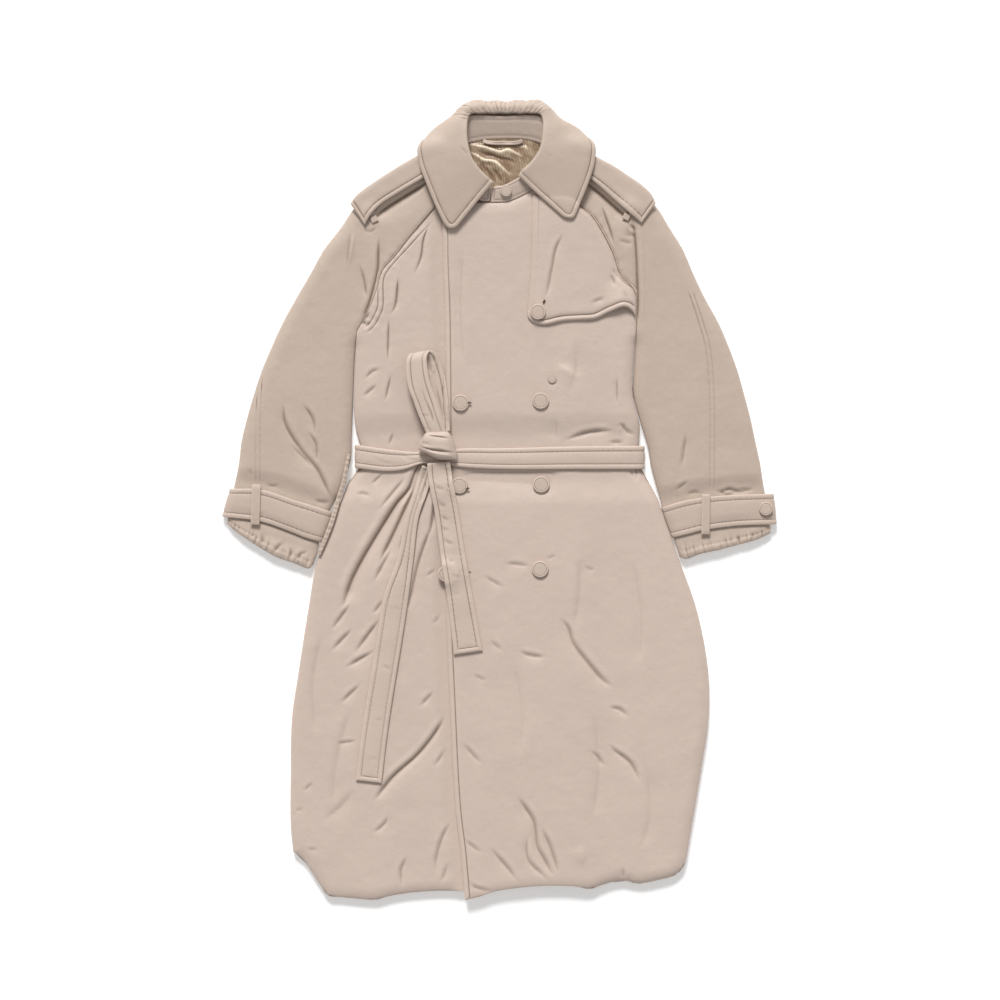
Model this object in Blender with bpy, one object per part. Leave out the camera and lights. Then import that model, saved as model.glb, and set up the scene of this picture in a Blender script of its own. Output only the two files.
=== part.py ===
"""A padded trench coat laid flat on its back with its front up, as Blender solids, one for each sewn piece.

Units are metres. +X is to the right of someone who looks down at the front, +Y points to the collar and
+Z is up. Left and right in the names are the wearer's: the left front is at +X and laps over the right one.
"""

import math

import bmesh
import bpy
import numpy as np
from mathutils import Vector
from mathutils.bvhtree import BVHTree

# Layers of the flat coat, as heights above the surface that it lies on
SEAM_GAP = 0.0005
BACK_TOP = 0.0075
FRONT_FOOT = BACK_TOP + SEAM_GAP
UNDERLAP_TOP = FRONT_FOOT + 0.0075
OVERLAP_FOOT = UNDERLAP_TOP + SEAM_GAP
EDGE_WALL = 0.0045
FRONT_LOFT = 0.0105
LAP_LOFT = 0.0085
SLEEVE_LOFT = 0.0195
SLEEVE_SIDE_FOOT = 0.0055
SLEEVE_SIDE_TOP = 0.0098
SEAM_SIDE_TOP = 0.0122
SLIT_FOOT = 0.0070
SLIT_TOP = 0.0080
WALL = 0.0090
ROUND = 0.020

# The belt and the pinch that it makes in the layers
BELT_Y = 0.068
BELT_UNDER = 0.0034
BELT_THICK = 0.0048
PINCH_FLAT = 0.031
PINCH_FADE = 0.045
PINCH_DEPTH = 0.0045

# The hidden edge of the right front, and where the left front comes down past it
UNDERLAP_EDGE = 0.086
STEP_START = 0.030
STEP_WIDTH = 0.060

BUTTON_RADIUS = 0.0133
BUTTON_HEIGHT = 0.0048
LAY_GAP = 0.0004
REACH = 0.009

# Outlines of the body, each row a height y and the x of the edge there, from the hem up to the neck
Y, X = 0, 1
RIGHT_SIDE = (
    (-0.562, -0.331), (-0.521, -0.335), (-0.431, -0.335), (-0.348, -0.333), (-0.271, -0.322),
    (-0.175, -0.307), (-0.098, -0.293), (-0.031, -0.267), (0.001, -0.254), (0.033, -0.24), (0.046, -0.2255),
    (0.068, -0.2215), (0.09, -0.2245), (0.113, -0.231), (0.161, -0.2338), (0.217, -0.2322), (0.27, -0.229),
)
RIGHT_RAGLAN = (
    (0.297, -0.214), (0.324, -0.202), (0.348, -0.194), (0.366, -0.189), (0.39, -0.168), (0.418, -0.146),
    (0.446, -0.123), (0.471, -0.101), (0.49, -0.085),
)
RIGHT_NECK_SIDE = ((0.515, -0.074), (0.542, -0.067), (0.564, -0.062))
LEFT_SIDE = (
    (-0.569, 0.299), (-0.521, 0.307), (-0.431, 0.322), (-0.348, 0.334), (-0.271, 0.333), (-0.175, 0.315),
    (-0.098, 0.288), (-0.031, 0.264), (0.001, 0.253), (0.033, 0.236), (0.046, 0.2255), (0.068, 0.2215),
    (0.09, 0.2225), (0.121, 0.2235), (0.145, 0.2175), (0.169, 0.2125), (0.217, 0.2134), (0.273, 0.218),
)
LEFT_RAGLAN = (
    (0.305, 0.219), (0.329, 0.217), (0.341, 0.211), (0.35, 0.201), (0.36, 0.192), (0.374, 0.187),
    (0.393, 0.181), (0.414, 0.171), (0.434, 0.16), (0.454, 0.147), (0.468, 0.13), (0.492, 0.108),
    (0.516, 0.094),
)
LEFT_NECK_SIDE = ((0.535, 0.084), (0.552, 0.076), (0.568, 0.07))
FRONT_EDGE = (
    (-0.639, -0.056), (-0.604, -0.059), (-0.559, -0.063), (-0.503, -0.07), (-0.431, -0.075),
    (-0.345, -0.079), (-0.202, -0.085), (-0.095, -0.086), (0.068, -0.086), (0.225, -0.087), (0.305, -0.088),
    (0.385, -0.091), (0.476, -0.092),
)
UNDERLAP_SIDE = (
    (-0.604, UNDERLAP_EDGE), (-0.3, UNDERLAP_EDGE), (0.068, UNDERLAP_EDGE), (0.51, UNDERLAP_EDGE),
)
LAP_LINE = (
    (-0.625, -0.057), (-0.559, -0.063), (-0.503, -0.07), (-0.431, -0.075), (-0.345, -0.079),
    (-0.202, -0.085), (-0.095, -0.086), (0.068, -0.086), (0.225, -0.087), (0.305, -0.088), (0.385, -0.088),
    (0.43, -0.084), (0.478, -0.06),
)

# Hems and necklines, each row an x and a y, from -X to +X
RIGHT_HEM = (
    (-0.331, -0.562), (-0.315, -0.574), (-0.299, -0.598), (-0.286, -0.618), (-0.275, -0.632),
    (-0.254, -0.635), (-0.232, -0.637), (-0.2, -0.639), (-0.176, -0.633), (-0.144, -0.628),
    (-0.104, -0.625), (-0.057, -0.625),
)
LAP_HEM = ((-0.057, -0.625), (0.01, -0.611), (UNDERLAP_EDGE, -0.604))
LEFT_HEM = (
    (-0.056, -0.639), (-0.032, -0.633), (-0.008, -0.625), (0.024, -0.62), (0.072, -0.616), (0.12, -0.617),
    (0.144, -0.621), (0.168, -0.614), (0.195, -0.608), (0.221, -0.613), (0.256, -0.607), (0.279, -0.6),
    (0.293, -0.587), (0.299, -0.569),
)
BACK_HEM = (
    (-0.331, -0.562), (-0.312, -0.58), (-0.29, -0.606), (-0.27, -0.626), (-0.2, -0.631), (-0.1, -0.618),
    (0.024, -0.612), (0.144, -0.614), (0.23, -0.606), (0.272, -0.597), (0.291, -0.584), (0.299, -0.569),
)
RIGHT_NECKLINE = ((-0.085, 0.49), (-0.073, 0.483), (-0.06, 0.478))
LAP_NECKLINE = ((-0.06, 0.478), (-0.014, 0.473), (0.04, 0.486), (UNDERLAP_EDGE, 0.51))
LEFT_NECKLINE = (
    (-0.092, 0.476), (-0.064, 0.477), (-0.04, 0.476), (-0.014, 0.476), (0.011, 0.477), (0.03, 0.484),
    (0.049, 0.495), (0.07, 0.508), (0.094, 0.516),
)
BACK_NECKLINE = ((-0.062, 0.564), (-0.03, 0.572), (0.004, 0.575), (0.038, 0.574), (0.07, 0.568))

# Outlines of the sleeves, each row an x and a y: from the cuff up, and across the cuff from the inner edge
RIGHT_SLEEVE = {
    "inner": (
        (-0.2935, -0.056), (-0.288, -0.03), (-0.2745, -0.008), (-0.2545, 0.016), (-0.244, 0.045),
        (-0.2385, 0.068), (-0.237, 0.113), (-0.235, 0.161), (-0.233, 0.217), (-0.23, 0.27),
    ),
    "outer": (
        (-0.431, -0.004), (-0.424, 0.03), (-0.418, 0.06), (-0.414, 0.094), (-0.405, 0.132), (-0.394, 0.17),
        (-0.381, 0.209), (-0.365, 0.247), (-0.347, 0.286), (-0.326, 0.324), (-0.304, 0.362),
        (-0.282, 0.401), (-0.253, 0.439), (-0.236, 0.465), (-0.216, 0.488), (-0.19, 0.507), (-0.162, 0.526),
        (-0.133, 0.543), (-0.108, 0.555), (-0.087, 0.563),
    ),
    "neck": ((-0.086, 0.4905), (-0.083, 0.515), (-0.083, 0.54), (-0.087, 0.563)),
    "cuff": ((-0.2935, -0.056), (-0.33, -0.035), (-0.382, -0.013), (-0.431, -0.004)),
}
LEFT_SLEEVE = {
    "inner": (
        (0.2785, -0.032), (0.271, -0.012), (0.261, 0.004), (0.252, 0.024), (0.2415, 0.055), (0.237, 0.084),
        (0.226, 0.121), (0.2135, 0.169), (0.2145, 0.217), (0.219, 0.273),
    ),
    "outer": (
        (0.428, -0.012), (0.42, 0.036), (0.416, 0.062), (0.409, 0.094), (0.401, 0.132), (0.391, 0.17),
        (0.38, 0.209), (0.366, 0.247), (0.349, 0.286), (0.328, 0.324), (0.31, 0.362), (0.293, 0.401),
        (0.27, 0.439), (0.254, 0.465), (0.24, 0.482), (0.225, 0.496), (0.203, 0.512), (0.18, 0.527),
        (0.152, 0.542), (0.118, 0.556), (0.096, 0.564),
    ),
    "neck": ((0.095, 0.5165), (0.093, 0.53), (0.093, 0.55), (0.096, 0.564)),
    "cuff": ((0.2785, -0.032), (0.32, -0.024), (0.375, -0.018), (0.428, -0.012)),
}

# The gathered cuffs below the straps: the edge that the strap hides, the gathered end, and the two sides
RIGHT_CUFF = {
    "top": ((-0.2935, -0.061), (-0.33, -0.041), (-0.382, -0.019), (-0.4315, -0.01)),
    "end": (
        (-0.299, -0.102), (-0.306, -0.109), (-0.328, -0.101), (-0.357, -0.091), (-0.382, -0.077),
        (-0.408, -0.06), (-0.429, -0.045), (-0.437, -0.036),
    ),
    "inner": ((-0.299, -0.102), (-0.295, -0.084), (-0.2935, -0.061)),
    "outer": ((-0.437, -0.036), (-0.435, -0.02), (-0.4315, -0.01)),
}
LEFT_CUFF = {
    "top": ((0.2835, -0.037), (0.32, -0.03), (0.375, -0.024), (0.4285, -0.018)),
    "end": (
        (0.289, -0.088), (0.297, -0.092), (0.323, -0.085), (0.352, -0.079), (0.366, -0.075),
        (0.389, -0.069), (0.413, -0.062), (0.434, -0.052),
    ),
    "inner": ((0.289, -0.088), (0.2885, -0.066), (0.2835, -0.037)),
    "outer": ((0.434, -0.052), (0.432, -0.035), (0.4285, -0.018)),
}
CUFF_WAVES = 8
CUFF_WAVE_HEIGHT = 0.0022
CUFF_LOFT = 0.0165

# Large folds: the two ends of each, its half-width, and its height above the cloth, negative for a trough
FRONT_FOLDS = (
    (-0.135, 0.03, -0.185, -0.035, 0.018, -0.004), (-0.18, -0.03, -0.25, -0.17, 0.02, -0.005),
    (-0.215, 0.0, -0.29, -0.15, 0.022, 0.003), (-0.083, -0.337, -0.132, -0.406, 0.022, -0.0045),
    (-0.132, -0.406, -0.205, -0.484, 0.022, -0.0045), (-0.15, -0.34, -0.23, -0.44, 0.024, 0.0035),
    (-0.08, -0.505, -0.104, -0.602, 0.02, -0.0045), (-0.125, -0.5, -0.14, -0.59, 0.022, 0.003),
    (-0.25, -0.42, -0.31, -0.5, 0.022, -0.0035), (0.095, -0.185, 0.142, -0.26, 0.02, -0.0045),
    (0.142, -0.26, 0.19, -0.305, 0.022, -0.004), (0.15, -0.19, 0.215, -0.28, 0.024, 0.003),
    (0.165, -0.38, 0.227, -0.454, 0.022, -0.004), (0.025, -0.468, 0.058, -0.535, 0.02, -0.0045),
    (0.058, -0.535, 0.092, -0.606, 0.02, -0.0045), (0.1, -0.48, 0.135, -0.59, 0.024, 0.0035),
    (-0.02, -0.55, 0.03, -0.61, 0.02, -0.0035), (-0.109, 0.449, -0.139, 0.359, 0.018, -0.003),
    (-0.163, 0.359, -0.18, 0.218, 0.02, -0.0035), (-0.135, 0.33, -0.14, 0.2, 0.022, 0.003),
    (0.099, 0.11, 0.2, 0.125, 0.018, 0.003),
)
SLEEVE_FOLDS = (
    (-0.196, 0.42, -0.222, 0.29, 0.015, -0.005), (-0.34, 0.08, -0.275, -0.02, 0.016, -0.004),
    (-0.395, 0.13, -0.402, 0.03, 0.014, -0.0025), (0.216, 0.43, 0.223, 0.3, 0.015, -0.005),
    (0.334, 0.15, 0.33, 0.0, 0.014, -0.003),
)

SHELL = ("shell_cloth", (0.600, 0.494, 0.412, 1.0), 0.50)
TRIM = ("trim_cloth", (0.560, 0.458, 0.376, 1.0), 0.50)
LINING = ("lining_satin", (0.520, 0.380, 0.215, 1.0), 0.30)
COVERED = ("covered_button", (0.545, 0.450, 0.370, 1.0), 0.45)


def clear_scene():
    """Removes every object that the file opened with."""
    for found in list(bpy.data.objects):
        bpy.data.objects.remove(found)


def material(finish):
    """The Principled material of one finish, made once."""
    name, colour, roughness = finish
    made = bpy.data.materials.get(name)
    if made is None:
        made = bpy.data.materials.new(name)
        made.use_nodes = True
        shader = made.node_tree.nodes["Principled BSDF"]
        shader.inputs["Base Color"].default_value = colour
        shader.inputs["Roughness"].default_value = roughness
        shader.inputs["Metallic"].default_value = 0.0
    return made


def ease(t):
    """A smooth step from 0 to 1."""
    t = np.clip(t, 0.0, 1.0)
    return t * t * (3.0 - 2.0 * t)


def round_off(distance, radius):
    """The share of full height at a distance from an edge that is rounded over a radius."""
    near = 1.0 - np.clip(distance / radius, 0.0, 1.0)
    return np.sqrt(1.0 - near * near)


def smooth(points, steps=8):
    """A smooth curve through the points, with that many steps between two of them."""
    p = np.asarray(points, float)
    if len(p) < 3:
        return p
    t = np.concatenate([[0.0], np.cumsum(np.sqrt(np.linalg.norm(np.diff(p, axis=0), axis=1)))])
    slope = np.gradient(p, t, axis=0)
    out = []
    for i in range(len(p) - 1):
        h = t[i + 1] - t[i]
        s = np.linspace(0.0, 1.0, steps, endpoint=False)[:, None]
        out.append(
            (2 * s**3 - 3 * s**2 + 1) * p[i]
            + (s**3 - 2 * s**2 + s) * h * slope[i]
            + (3 * s**2 - 2 * s**3) * p[i + 1]
            + (s**3 - s**2) * h * slope[i + 1]
        )
    return np.vstack(out + [p[-1][None]])


def along(curve, fractions):
    """The points of a curve at fractions of its length."""
    steps = np.linalg.norm(np.diff(curve, axis=0), axis=1)
    length = np.concatenate([[0.0], np.cumsum(steps)])
    at = np.asarray(fractions) * length[-1]
    return np.stack([np.interp(at, length, curve[:, k]) for k in range(curve.shape[1])], axis=-1)


def spaced(length, offsets, inner):
    """Fractions of a length: the offsets from both of its ends, and inner ones spread evenly between."""
    low = np.asarray(offsets) / length
    return np.concatenate([low, np.linspace(low[-1], 1.0 - low[-1], inner + 2)[1:-1], 1.0 - low[::-1]])


def edge_distance(points, outline):
    """How far each plan point lies from a closed outline."""
    flat = points.reshape(-1, 2)
    best = np.full(len(flat), np.inf)
    for a, b in zip(outline, np.roll(outline, -1, axis=0)):
        d = b - a
        t = np.clip(((flat - a) @ d) / max(d @ d, 1e-12), 0.0, 1.0)
        best = np.minimum(best, np.linalg.norm(flat - a - t[:, None] * d, axis=1))
    return best.reshape(points.shape[:-1])


def border(grid):
    """The outline of a grid of points, once round."""
    return np.concatenate([grid[0, :-1], grid[:-1, -1], grid[-1, :0:-1], grid[:0:-1, 0]])


def fold_height(grid, folds):
    """The height that the listed folds add at each plan point."""
    total = np.zeros(grid.shape[:-1])
    for x0, y0, x1, y1, half_width, height in folds:
        a = np.array((x0, y0))
        d = np.array((x1 - x0, y1 - y0))
        t = np.clip(((grid - a) @ d) / (d @ d), 0.0, 1.0)
        away = np.linalg.norm(grid - a - t[..., None] * d, axis=-1)
        faded = np.sin(math.pi * np.clip(t, 0.04, 0.96)) ** 0.6
        total += height * np.exp(-((away / half_width) ** 2)) * faded
    return total


def pinch(y):
    """The share of the belt's squeeze at a height on the body."""
    return 1.0 - ease((np.abs(y - BELT_Y) - PINCH_FLAT) / PINCH_FADE)


def edge_x(rows, y):
    """The x of a side edge at heights y, from its table of rows."""
    curve = smooth(rows)
    return np.interp(y, curve[:, Y], curve[:, X])


LOW_ROWS = np.concatenate([
    (-0.639, -0.630, -0.612), np.linspace(-0.575, -0.030, 14), (0.018, 0.036, 0.047, 0.068, 0.089, 0.102),
    (0.140, 0.190, 0.235),
])
SEAM_ROWS = 9
NECK_ROWS = 3
HEM_REACH = 0.28
NECK_REACH = 0.10


def seam_points(side, raglan):
    """The points that a raglan seam shares between the body and the sleeve, from the armpit to the neck."""
    line = smooth([(x, y) for y, x in side[-1:] + raglan])
    return along(line, np.linspace(0.0, 1.0, SEAM_ROWS))


def side_points(table, upper):
    """Points up a side edge: one for each low row, drawn to the hem's corner, then the given upper ones."""
    pull = np.clip(1.0 - (LOW_ROWS - LOW_ROWS[0]) / HEM_REACH, 0.0, 1.0)
    y = LOW_ROWS + (table[0][Y] - LOW_ROWS[0]) * pull
    return np.concatenate([np.stack([edge_x(table, y), y], axis=-1), upper])


def edge_points(table, first_y):
    """Points up a front edge, with its upper rows spread evenly from first_y to the neck."""
    y = np.linspace(first_y, table[-1][Y], SEAM_ROWS)
    return side_points(table, np.stack([edge_x(table, y), y], axis=-1))


def body_grid(first, last, hem, neckline, across):
    """Plan points [row][column] of a body panel between two side edges, a hem and a neckline."""
    middle = (first[:, 1] + last[:, 1]) / 2
    near_hem = np.clip(1.0 - (middle - middle[0]) / HEM_REACH, 0.0, 1.0)
    near_neck = np.clip(1.0 - (middle[-1] - middle) / NECK_REACH, 0.0, 1.0)
    u = across[None, :, None]
    grid = (1 - u) * first[:, None] + u * last[:, None]
    for curve, weight in ((hem, near_hem**1.5), (neckline, near_neck**1.5)):
        line = along(smooth(curve), across)
        chord = (1 - across[:, None]) * line[0] + across[:, None] * line[-1]
        grid = grid + weight[:, None, None] * (line - chord)[None]
    return grid


def length_shares(line):
    """The share of a line's length at each of its points."""
    length = np.concatenate([[0.0], np.cumsum(np.linalg.norm(np.diff(line, axis=0), axis=1))])
    return length / length[-1]


def patch(bottom, top, first, last, across):
    """Plan points [row][column] between two side edges, given as points, and two smooth end curves."""
    low, high = along(smooth(bottom), across), along(smooth(top), across)
    u, v = across[None, :, None], ((length_shares(first) + length_shares(last)) / 2)[:, None, None]
    corners = (1 - v) * ((1 - u) * first[0] + u * last[0]) + v * ((1 - u) * first[-1] + u * last[-1])
    return (1 - v) * low[None] + v * high[None] + (1 - u) * first[:, None] + u * last[:, None] - corners


def add_piece(name, points, faces, finish):
    """Makes one named object of a closed mesh, with its faces turned outwards."""
    mesh = bpy.data.meshes.new(name)
    mesh.from_pydata([tuple(map(float, p)) for p in points], [], faces)
    work = bmesh.new()
    work.from_mesh(mesh)
    bmesh.ops.recalc_face_normals(work, faces=work.faces)
    if work.calc_volume(signed=True) < 0:
        bmesh.ops.reverse_faces(work, faces=work.faces)
    bmesh.ops.triangulate(work, faces=work.faces, quad_method="SHORT_EDGE", ngon_method="BEAUTY")
    work.to_mesh(mesh)
    work.free()
    mesh.shade_smooth()
    mesh.set_sharp_from_angle(angle=math.radians(50))
    mesh.materials.append(material(finish))
    made = bpy.data.objects.new(name, mesh)
    bpy.context.scene.collection.objects.link(made)
    return made


def wall(name, foot, crown, finish, round_rows=False):
    """A closed wall between two grids of points [row][column]. round_rows closes the rows into a ring."""
    rows, columns = foot.shape[:2]
    points = np.concatenate([foot.reshape(-1, 3), crown.reshape(-1, 3)])
    top = rows * columns
    faces = []
    spans = rows if round_rows else rows - 1
    for i in range(spans):
        k = (i + 1) % rows
        for j in range(columns - 1):
            a, b, c, d = i * columns + j, i * columns + j + 1, k * columns + j + 1, k * columns + j
            faces.append((a, d, c, b))
            faces.append((top + a, top + b, top + c, top + d))
        faces.append((i * columns, top + i * columns, top + k * columns, k * columns))
        last = columns - 1
        low, high = i * columns + last, k * columns + last
        faces.append((low, high, top + high, top + low))
    if not round_rows:
        for j in range(columns - 1):
            faces.append((j, j + 1, top + j + 1, top + j))
            end = (rows - 1) * columns
            faces.append((end + j + 1, end + j, top + end + j, top + end + j + 1))
    return add_piece(name, points, faces, finish)


def lift(grid, height):
    """Plan points with heights, as points in space."""
    return np.concatenate([grid, height[..., None]], axis=-1)


def band(name, middle, thickness, finish, round_rows=False, edge_share=0.6):
    """A wall of cloth to both sides of a grid of middle points, thinner at its two long edges."""
    if round_rows:
        ahead, behind = np.roll(middle, -1, axis=0), np.roll(middle, 1, axis=0)
        forward = ahead - behind
    else:
        forward = np.gradient(middle, axis=0)
    sideways = np.gradient(middle, axis=1)
    normal = np.cross(forward, sideways)
    normal /= np.linalg.norm(normal, axis=-1, keepdims=True)
    share = np.ones(middle.shape[1])
    share[0] = share[-1] = edge_share
    half = np.asarray(thickness) / 2 * share
    offset = normal * np.broadcast_to(half, middle.shape[:2])[..., None]
    return wall(name, middle - offset, middle + offset, finish, round_rows)


class Heap:
    """What has been laid down so far, to find how high the next piece rests."""

    def __init__(self):
        self.trees = []

    def add(self, *pieces):
        """Counts pieces as laid down."""
        for piece in pieces:
            mesh = piece.data
            corners = [v.co.copy() for v in mesh.vertices]
            self.trees.append(BVHTree.FromPolygons(corners, [tuple(f.vertices) for f in mesh.polygons]))
        return pieces[0]

    def top(self, x, y, reach=REACH):
        """The highest point within reach of a plan point."""
        best = 0.0
        spots = [(0.0, 0.0)] + [
            (radius * math.cos(math.tau * k / 8), radius * math.sin(math.tau * k / 8))
            for radius in (reach / 2, reach)
            for k in range(8)
        ]
        for dx, dy in spots:
            start = Vector((x + dx, y + dy, 0.5))
            for tree in self.trees:
                hit = tree.ray_cast(start, Vector((0.0, 0.0, -1.0)))[0]
                if hit is not None:
                    best = max(best, hit.z)
        return best

    def rest(self, grid, reach=REACH):
        """The heights at which a piece over these plan points rests."""
        flat = grid.reshape(-1, grid.shape[-1])
        heights = np.array([self.top(p[0], p[1], reach) for p in flat])
        return heights.reshape(grid.shape[:-1]) + LAY_GAP


RIGHT_SEAM = seam_points(RIGHT_SIDE, RIGHT_RAGLAN)
LEFT_SEAM = seam_points(LEFT_SIDE, LEFT_RAGLAN)


def neck_points(raglan, neck_side):
    """Points beside the neck, above the raglan seam."""
    line = smooth([(x, y) for y, x in raglan[-1:] + neck_side])
    return along(line, np.linspace(0.0, 1.0, NECK_ROWS + 1))[1:]


def back():
    """The back, with its flat underside and a shallow channel for the belt."""
    across = spaced(0.56, (0.0, 0.006, 0.020), 3)
    first = side_points(RIGHT_SIDE, np.concatenate([RIGHT_SEAM, neck_points(RIGHT_RAGLAN, RIGHT_NECK_SIDE)]))
    last = side_points(LEFT_SIDE, np.concatenate([LEFT_SEAM, neck_points(LEFT_RAGLAN, LEFT_NECK_SIDE)]))
    grid = body_grid(first, last, BACK_HEM, BACK_NECKLINE, across)
    near_edge = 1.0 - round_off(edge_distance(grid, border(grid)), 0.012)
    foot = np.maximum(0.0025 * near_edge, (BELT_UNDER + SEAM_GAP) * pinch(grid[..., 1]))
    return wall("back", lift(grid, foot), lift(grid, np.full(grid.shape[:2], BACK_TOP)), SHELL)


def loft(grid, edge, full, radius=ROUND):
    """Wall thickness over a grid: edge at its outline, and full further in."""
    return edge + (full - edge) * round_off(edge_distance(grid, border(grid)), radius)


def front_right():
    """The right front, whose lap lies flat under the left one."""
    shown_part = np.array((0.0, 0.025, 0.085, 0.21, 0.34, 0.47, 0.60, 0.73, 0.86, 0.96, 1.0))
    lap_part = np.array((0.0, 0.5, 1.0))
    line = edge_points(LAP_LINE, 0.270)
    shown = body_grid(side_points(RIGHT_SIDE, RIGHT_SEAM), line, RIGHT_HEM, RIGHT_NECKLINE, shown_part)
    lap = body_grid(line, edge_points(UNDERLAP_SIDE, 0.270), LAP_HEM, LAP_NECKLINE, lap_part)
    grid = np.concatenate([shown, lap[:, 1:]], axis=1)
    x, y = grid[..., 0], grid[..., 1]
    puffed = FRONT_FOOT + loft(grid, EDGE_WALL, FRONT_LOFT) + fold_height(grid, FRONT_FOLDS)
    puffed -= PINCH_DEPTH * pinch(y)
    clear = ease((edge_x(FRONT_EDGE, y) - x - 0.004) / 0.022) * (1.0 - ease((y - 0.415) / 0.04))
    crown = UNDERLAP_TOP + (puffed - UNDERLAP_TOP) * clear
    foot = np.full(grid.shape[:2], FRONT_FOOT)
    crown = np.where(x > edge_x(FRONT_EDGE, y) - 0.001, np.minimum(crown, UNDERLAP_TOP), crown)
    return wall("front_right", lift(grid, foot), lift(grid, np.maximum(crown, foot + 0.003)), SHELL)


def front_left():
    """The left front, over the right one's lap and then down to the back."""
    across = spaced(0.40, (0.0, 0.006, 0.020), 10)
    first = edge_points(FRONT_EDGE, 0.270)
    grid = body_grid(first, side_points(LEFT_SIDE, LEFT_SEAM), LEFT_HEM, LEFT_NECKLINE, across)
    x, y = grid[..., 0], grid[..., 1]
    past_lap = ease((x - UNDERLAP_EDGE - STEP_START) / STEP_WIDTH)
    foot = OVERLAP_FOOT + (FRONT_FOOT - OVERLAP_FOOT) * past_lap
    full = LAP_LOFT + (FRONT_LOFT + 0.0025 - LAP_LOFT) * past_lap
    crown = foot + loft(grid, EDGE_WALL, full) + fold_height(grid, FRONT_FOLDS) - PINCH_DEPTH * pinch(y)
    return wall("front_left", lift(grid, foot), lift(grid, np.maximum(crown, foot + 0.003)), SHELL)


def ring_rows(grid, inset):
    """The same rows with their ends drawn in by a wall's thickness."""
    out = np.empty_like(grid)
    fractions = np.linspace(0.0, 1.0, grid.shape[1])
    for i, row in enumerate(grid):
        width = np.linalg.norm(np.diff(row, axis=0), axis=1).sum()
        share = min(inset / width, 0.3)
        out[i] = along(row, share + (1.0 - 2.0 * share) * fractions)
    return out


def flat_tube(name, grid, foot, crown, finish):
    """A tube of cloth pressed flat, open at its first and last row, with a slit between its two walls."""
    rows, columns = grid.shape[:2]
    inner = ring_rows(grid, WALL)
    slit_foot = np.full(grid.shape[:2], SLIT_FOOT)
    slit_top = np.full(grid.shape[:2], SLIT_TOP)
    loops = []
    for plan, low, high in ((grid, foot, crown), (inner, slit_foot, slit_top)):
        loops.append(np.concatenate([lift(plan, low), lift(plan, high)[:, ::-1]], axis=1))
    size = 2 * columns
    points = np.concatenate([loops[0].reshape(-1, 3), loops[1].reshape(-1, 3)])
    inside = rows * size
    faces = []
    for i in range(rows - 1):
        for j in range(size):
            a, b = i * size + j, i * size + (j + 1) % size
            faces.append((a, a + size, b + size, b))
            faces.append((inside + a, inside + b, inside + b + size, inside + a + size))
    for row, flip in ((0, False), (rows - 1, True)):
        for j in range(size):
            a, b = row * size + j, row * size + (j + 1) % size
            face = (a, b, inside + b, inside + a)
            faces.append(face[::-1] if flip else face)
    return add_piece(name, points, faces, finish)


def offset_line(line, distance):
    """A plan line moved to its left side."""
    heading = np.gradient(line, axis=0)
    heading /= np.linalg.norm(heading, axis=1, keepdims=True)
    return line + distance * np.stack([-heading[:, 1], heading[:, 0]], axis=-1)


def nearest_share(distance, reach):
    """1 at a line, and 0 from reach away."""
    return 1.0 - ease(distance / reach)


def sleeve(name, table, seam, strap, outwards):
    """One sleeve, from the edge that the cuff strap hides up to the neck, with the raglan seam inside."""
    seam = offset_line(seam, SEAM_GAP * outwards)
    low = np.array((0.0, 0.13, 0.22, 0.33, 0.46, 0.60, 0.73, 0.87))
    inner_low = along(smooth(table["inner"][:-1] + (tuple(seam[0]),)), low)
    outer = smooth(table["outer"])
    turn = np.argmin(np.abs(outer[:, 1] - seam[0, 1]))
    outer_low = along(outer[: turn + 1], low)
    outer_high = along(outer[turn:], np.linspace(0.0, 1.0, SEAM_ROWS))
    first = np.concatenate([inner_low, seam])
    last = np.concatenate([outer_low, outer_high])
    across = spaced(0.17, (0.0, 0.006, 0.018), 2)
    grid = patch(table["cuff"], table["neck"], first, last, across)
    sides = np.concatenate([grid[:, 0], grid[::-1, -1]])
    at_seam = np.zeros(grid.shape[:2])
    at_seam[len(low):, : grid.shape[1] // 2] = 1.0
    side_top = SLEEVE_SIDE_TOP + (SEAM_SIDE_TOP - SLEEVE_SIDE_TOP) * at_seam
    side_foot = SLEEVE_SIDE_FOOT * (1.0 - at_seam)
    distance = edge_distance(grid, sides)
    at_strap = nearest_share(np.maximum(distance_to_line(grid, strap) - 0.032, 0.0), 0.028)
    full = SLEEVE_LOFT - 0.0045 * at_strap
    crown = side_top + (full - side_top) * round_off(distance, ROUND)
    crown += fold_height(grid, SLEEVE_FOLDS) * round_off(distance, ROUND) * (1.0 - at_strap)
    foot = np.maximum(side_foot * (1.0 - round_off(distance, 0.014)), STRAP_UNDER * at_strap)
    return flat_tube(name, grid, foot, crown, SHELL)


def distance_to_line(grid, line):
    """How far plan points lie from a smooth open line."""
    curve = smooth(line)
    return edge_distance(grid, np.concatenate([curve, curve[::-1]]))


# Cuff straps: their upper and their lower edge, from the inner side of the sleeve to the outer one
STRAP_UNDER = 0.0038
STRAP_THICK = 0.0042
RIGHT_STRAP = {
    "upper": ((-0.2745, -0.018), (-0.3, -0.008), (-0.33, 0.001), (-0.3824, 0.0176), (-0.431, 0.019)),
    "lower": ((-0.2865, -0.066), (-0.31, -0.06), (-0.3384, -0.0488), (-0.3824, -0.0339), (-0.444, -0.026)),
    "middle": ((-0.281, -0.042), (-0.334, -0.024), (-0.3824, -0.008), (-0.437, -0.003)),
}
LEFT_STRAP = {
    "upper": ((0.264, -0.01), (0.288, -0.002), (0.3216, 0.0046), (0.3712, 0.0088), (0.437, 0.011)),
    "lower": ((0.28, -0.059), (0.302, -0.0535), (0.322, -0.0485), (0.376, -0.0408), (0.442, -0.038)),
    "middle": ((0.272, -0.034), (0.321, -0.022), (0.374, -0.016), (0.44, -0.013)),
}


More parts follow.
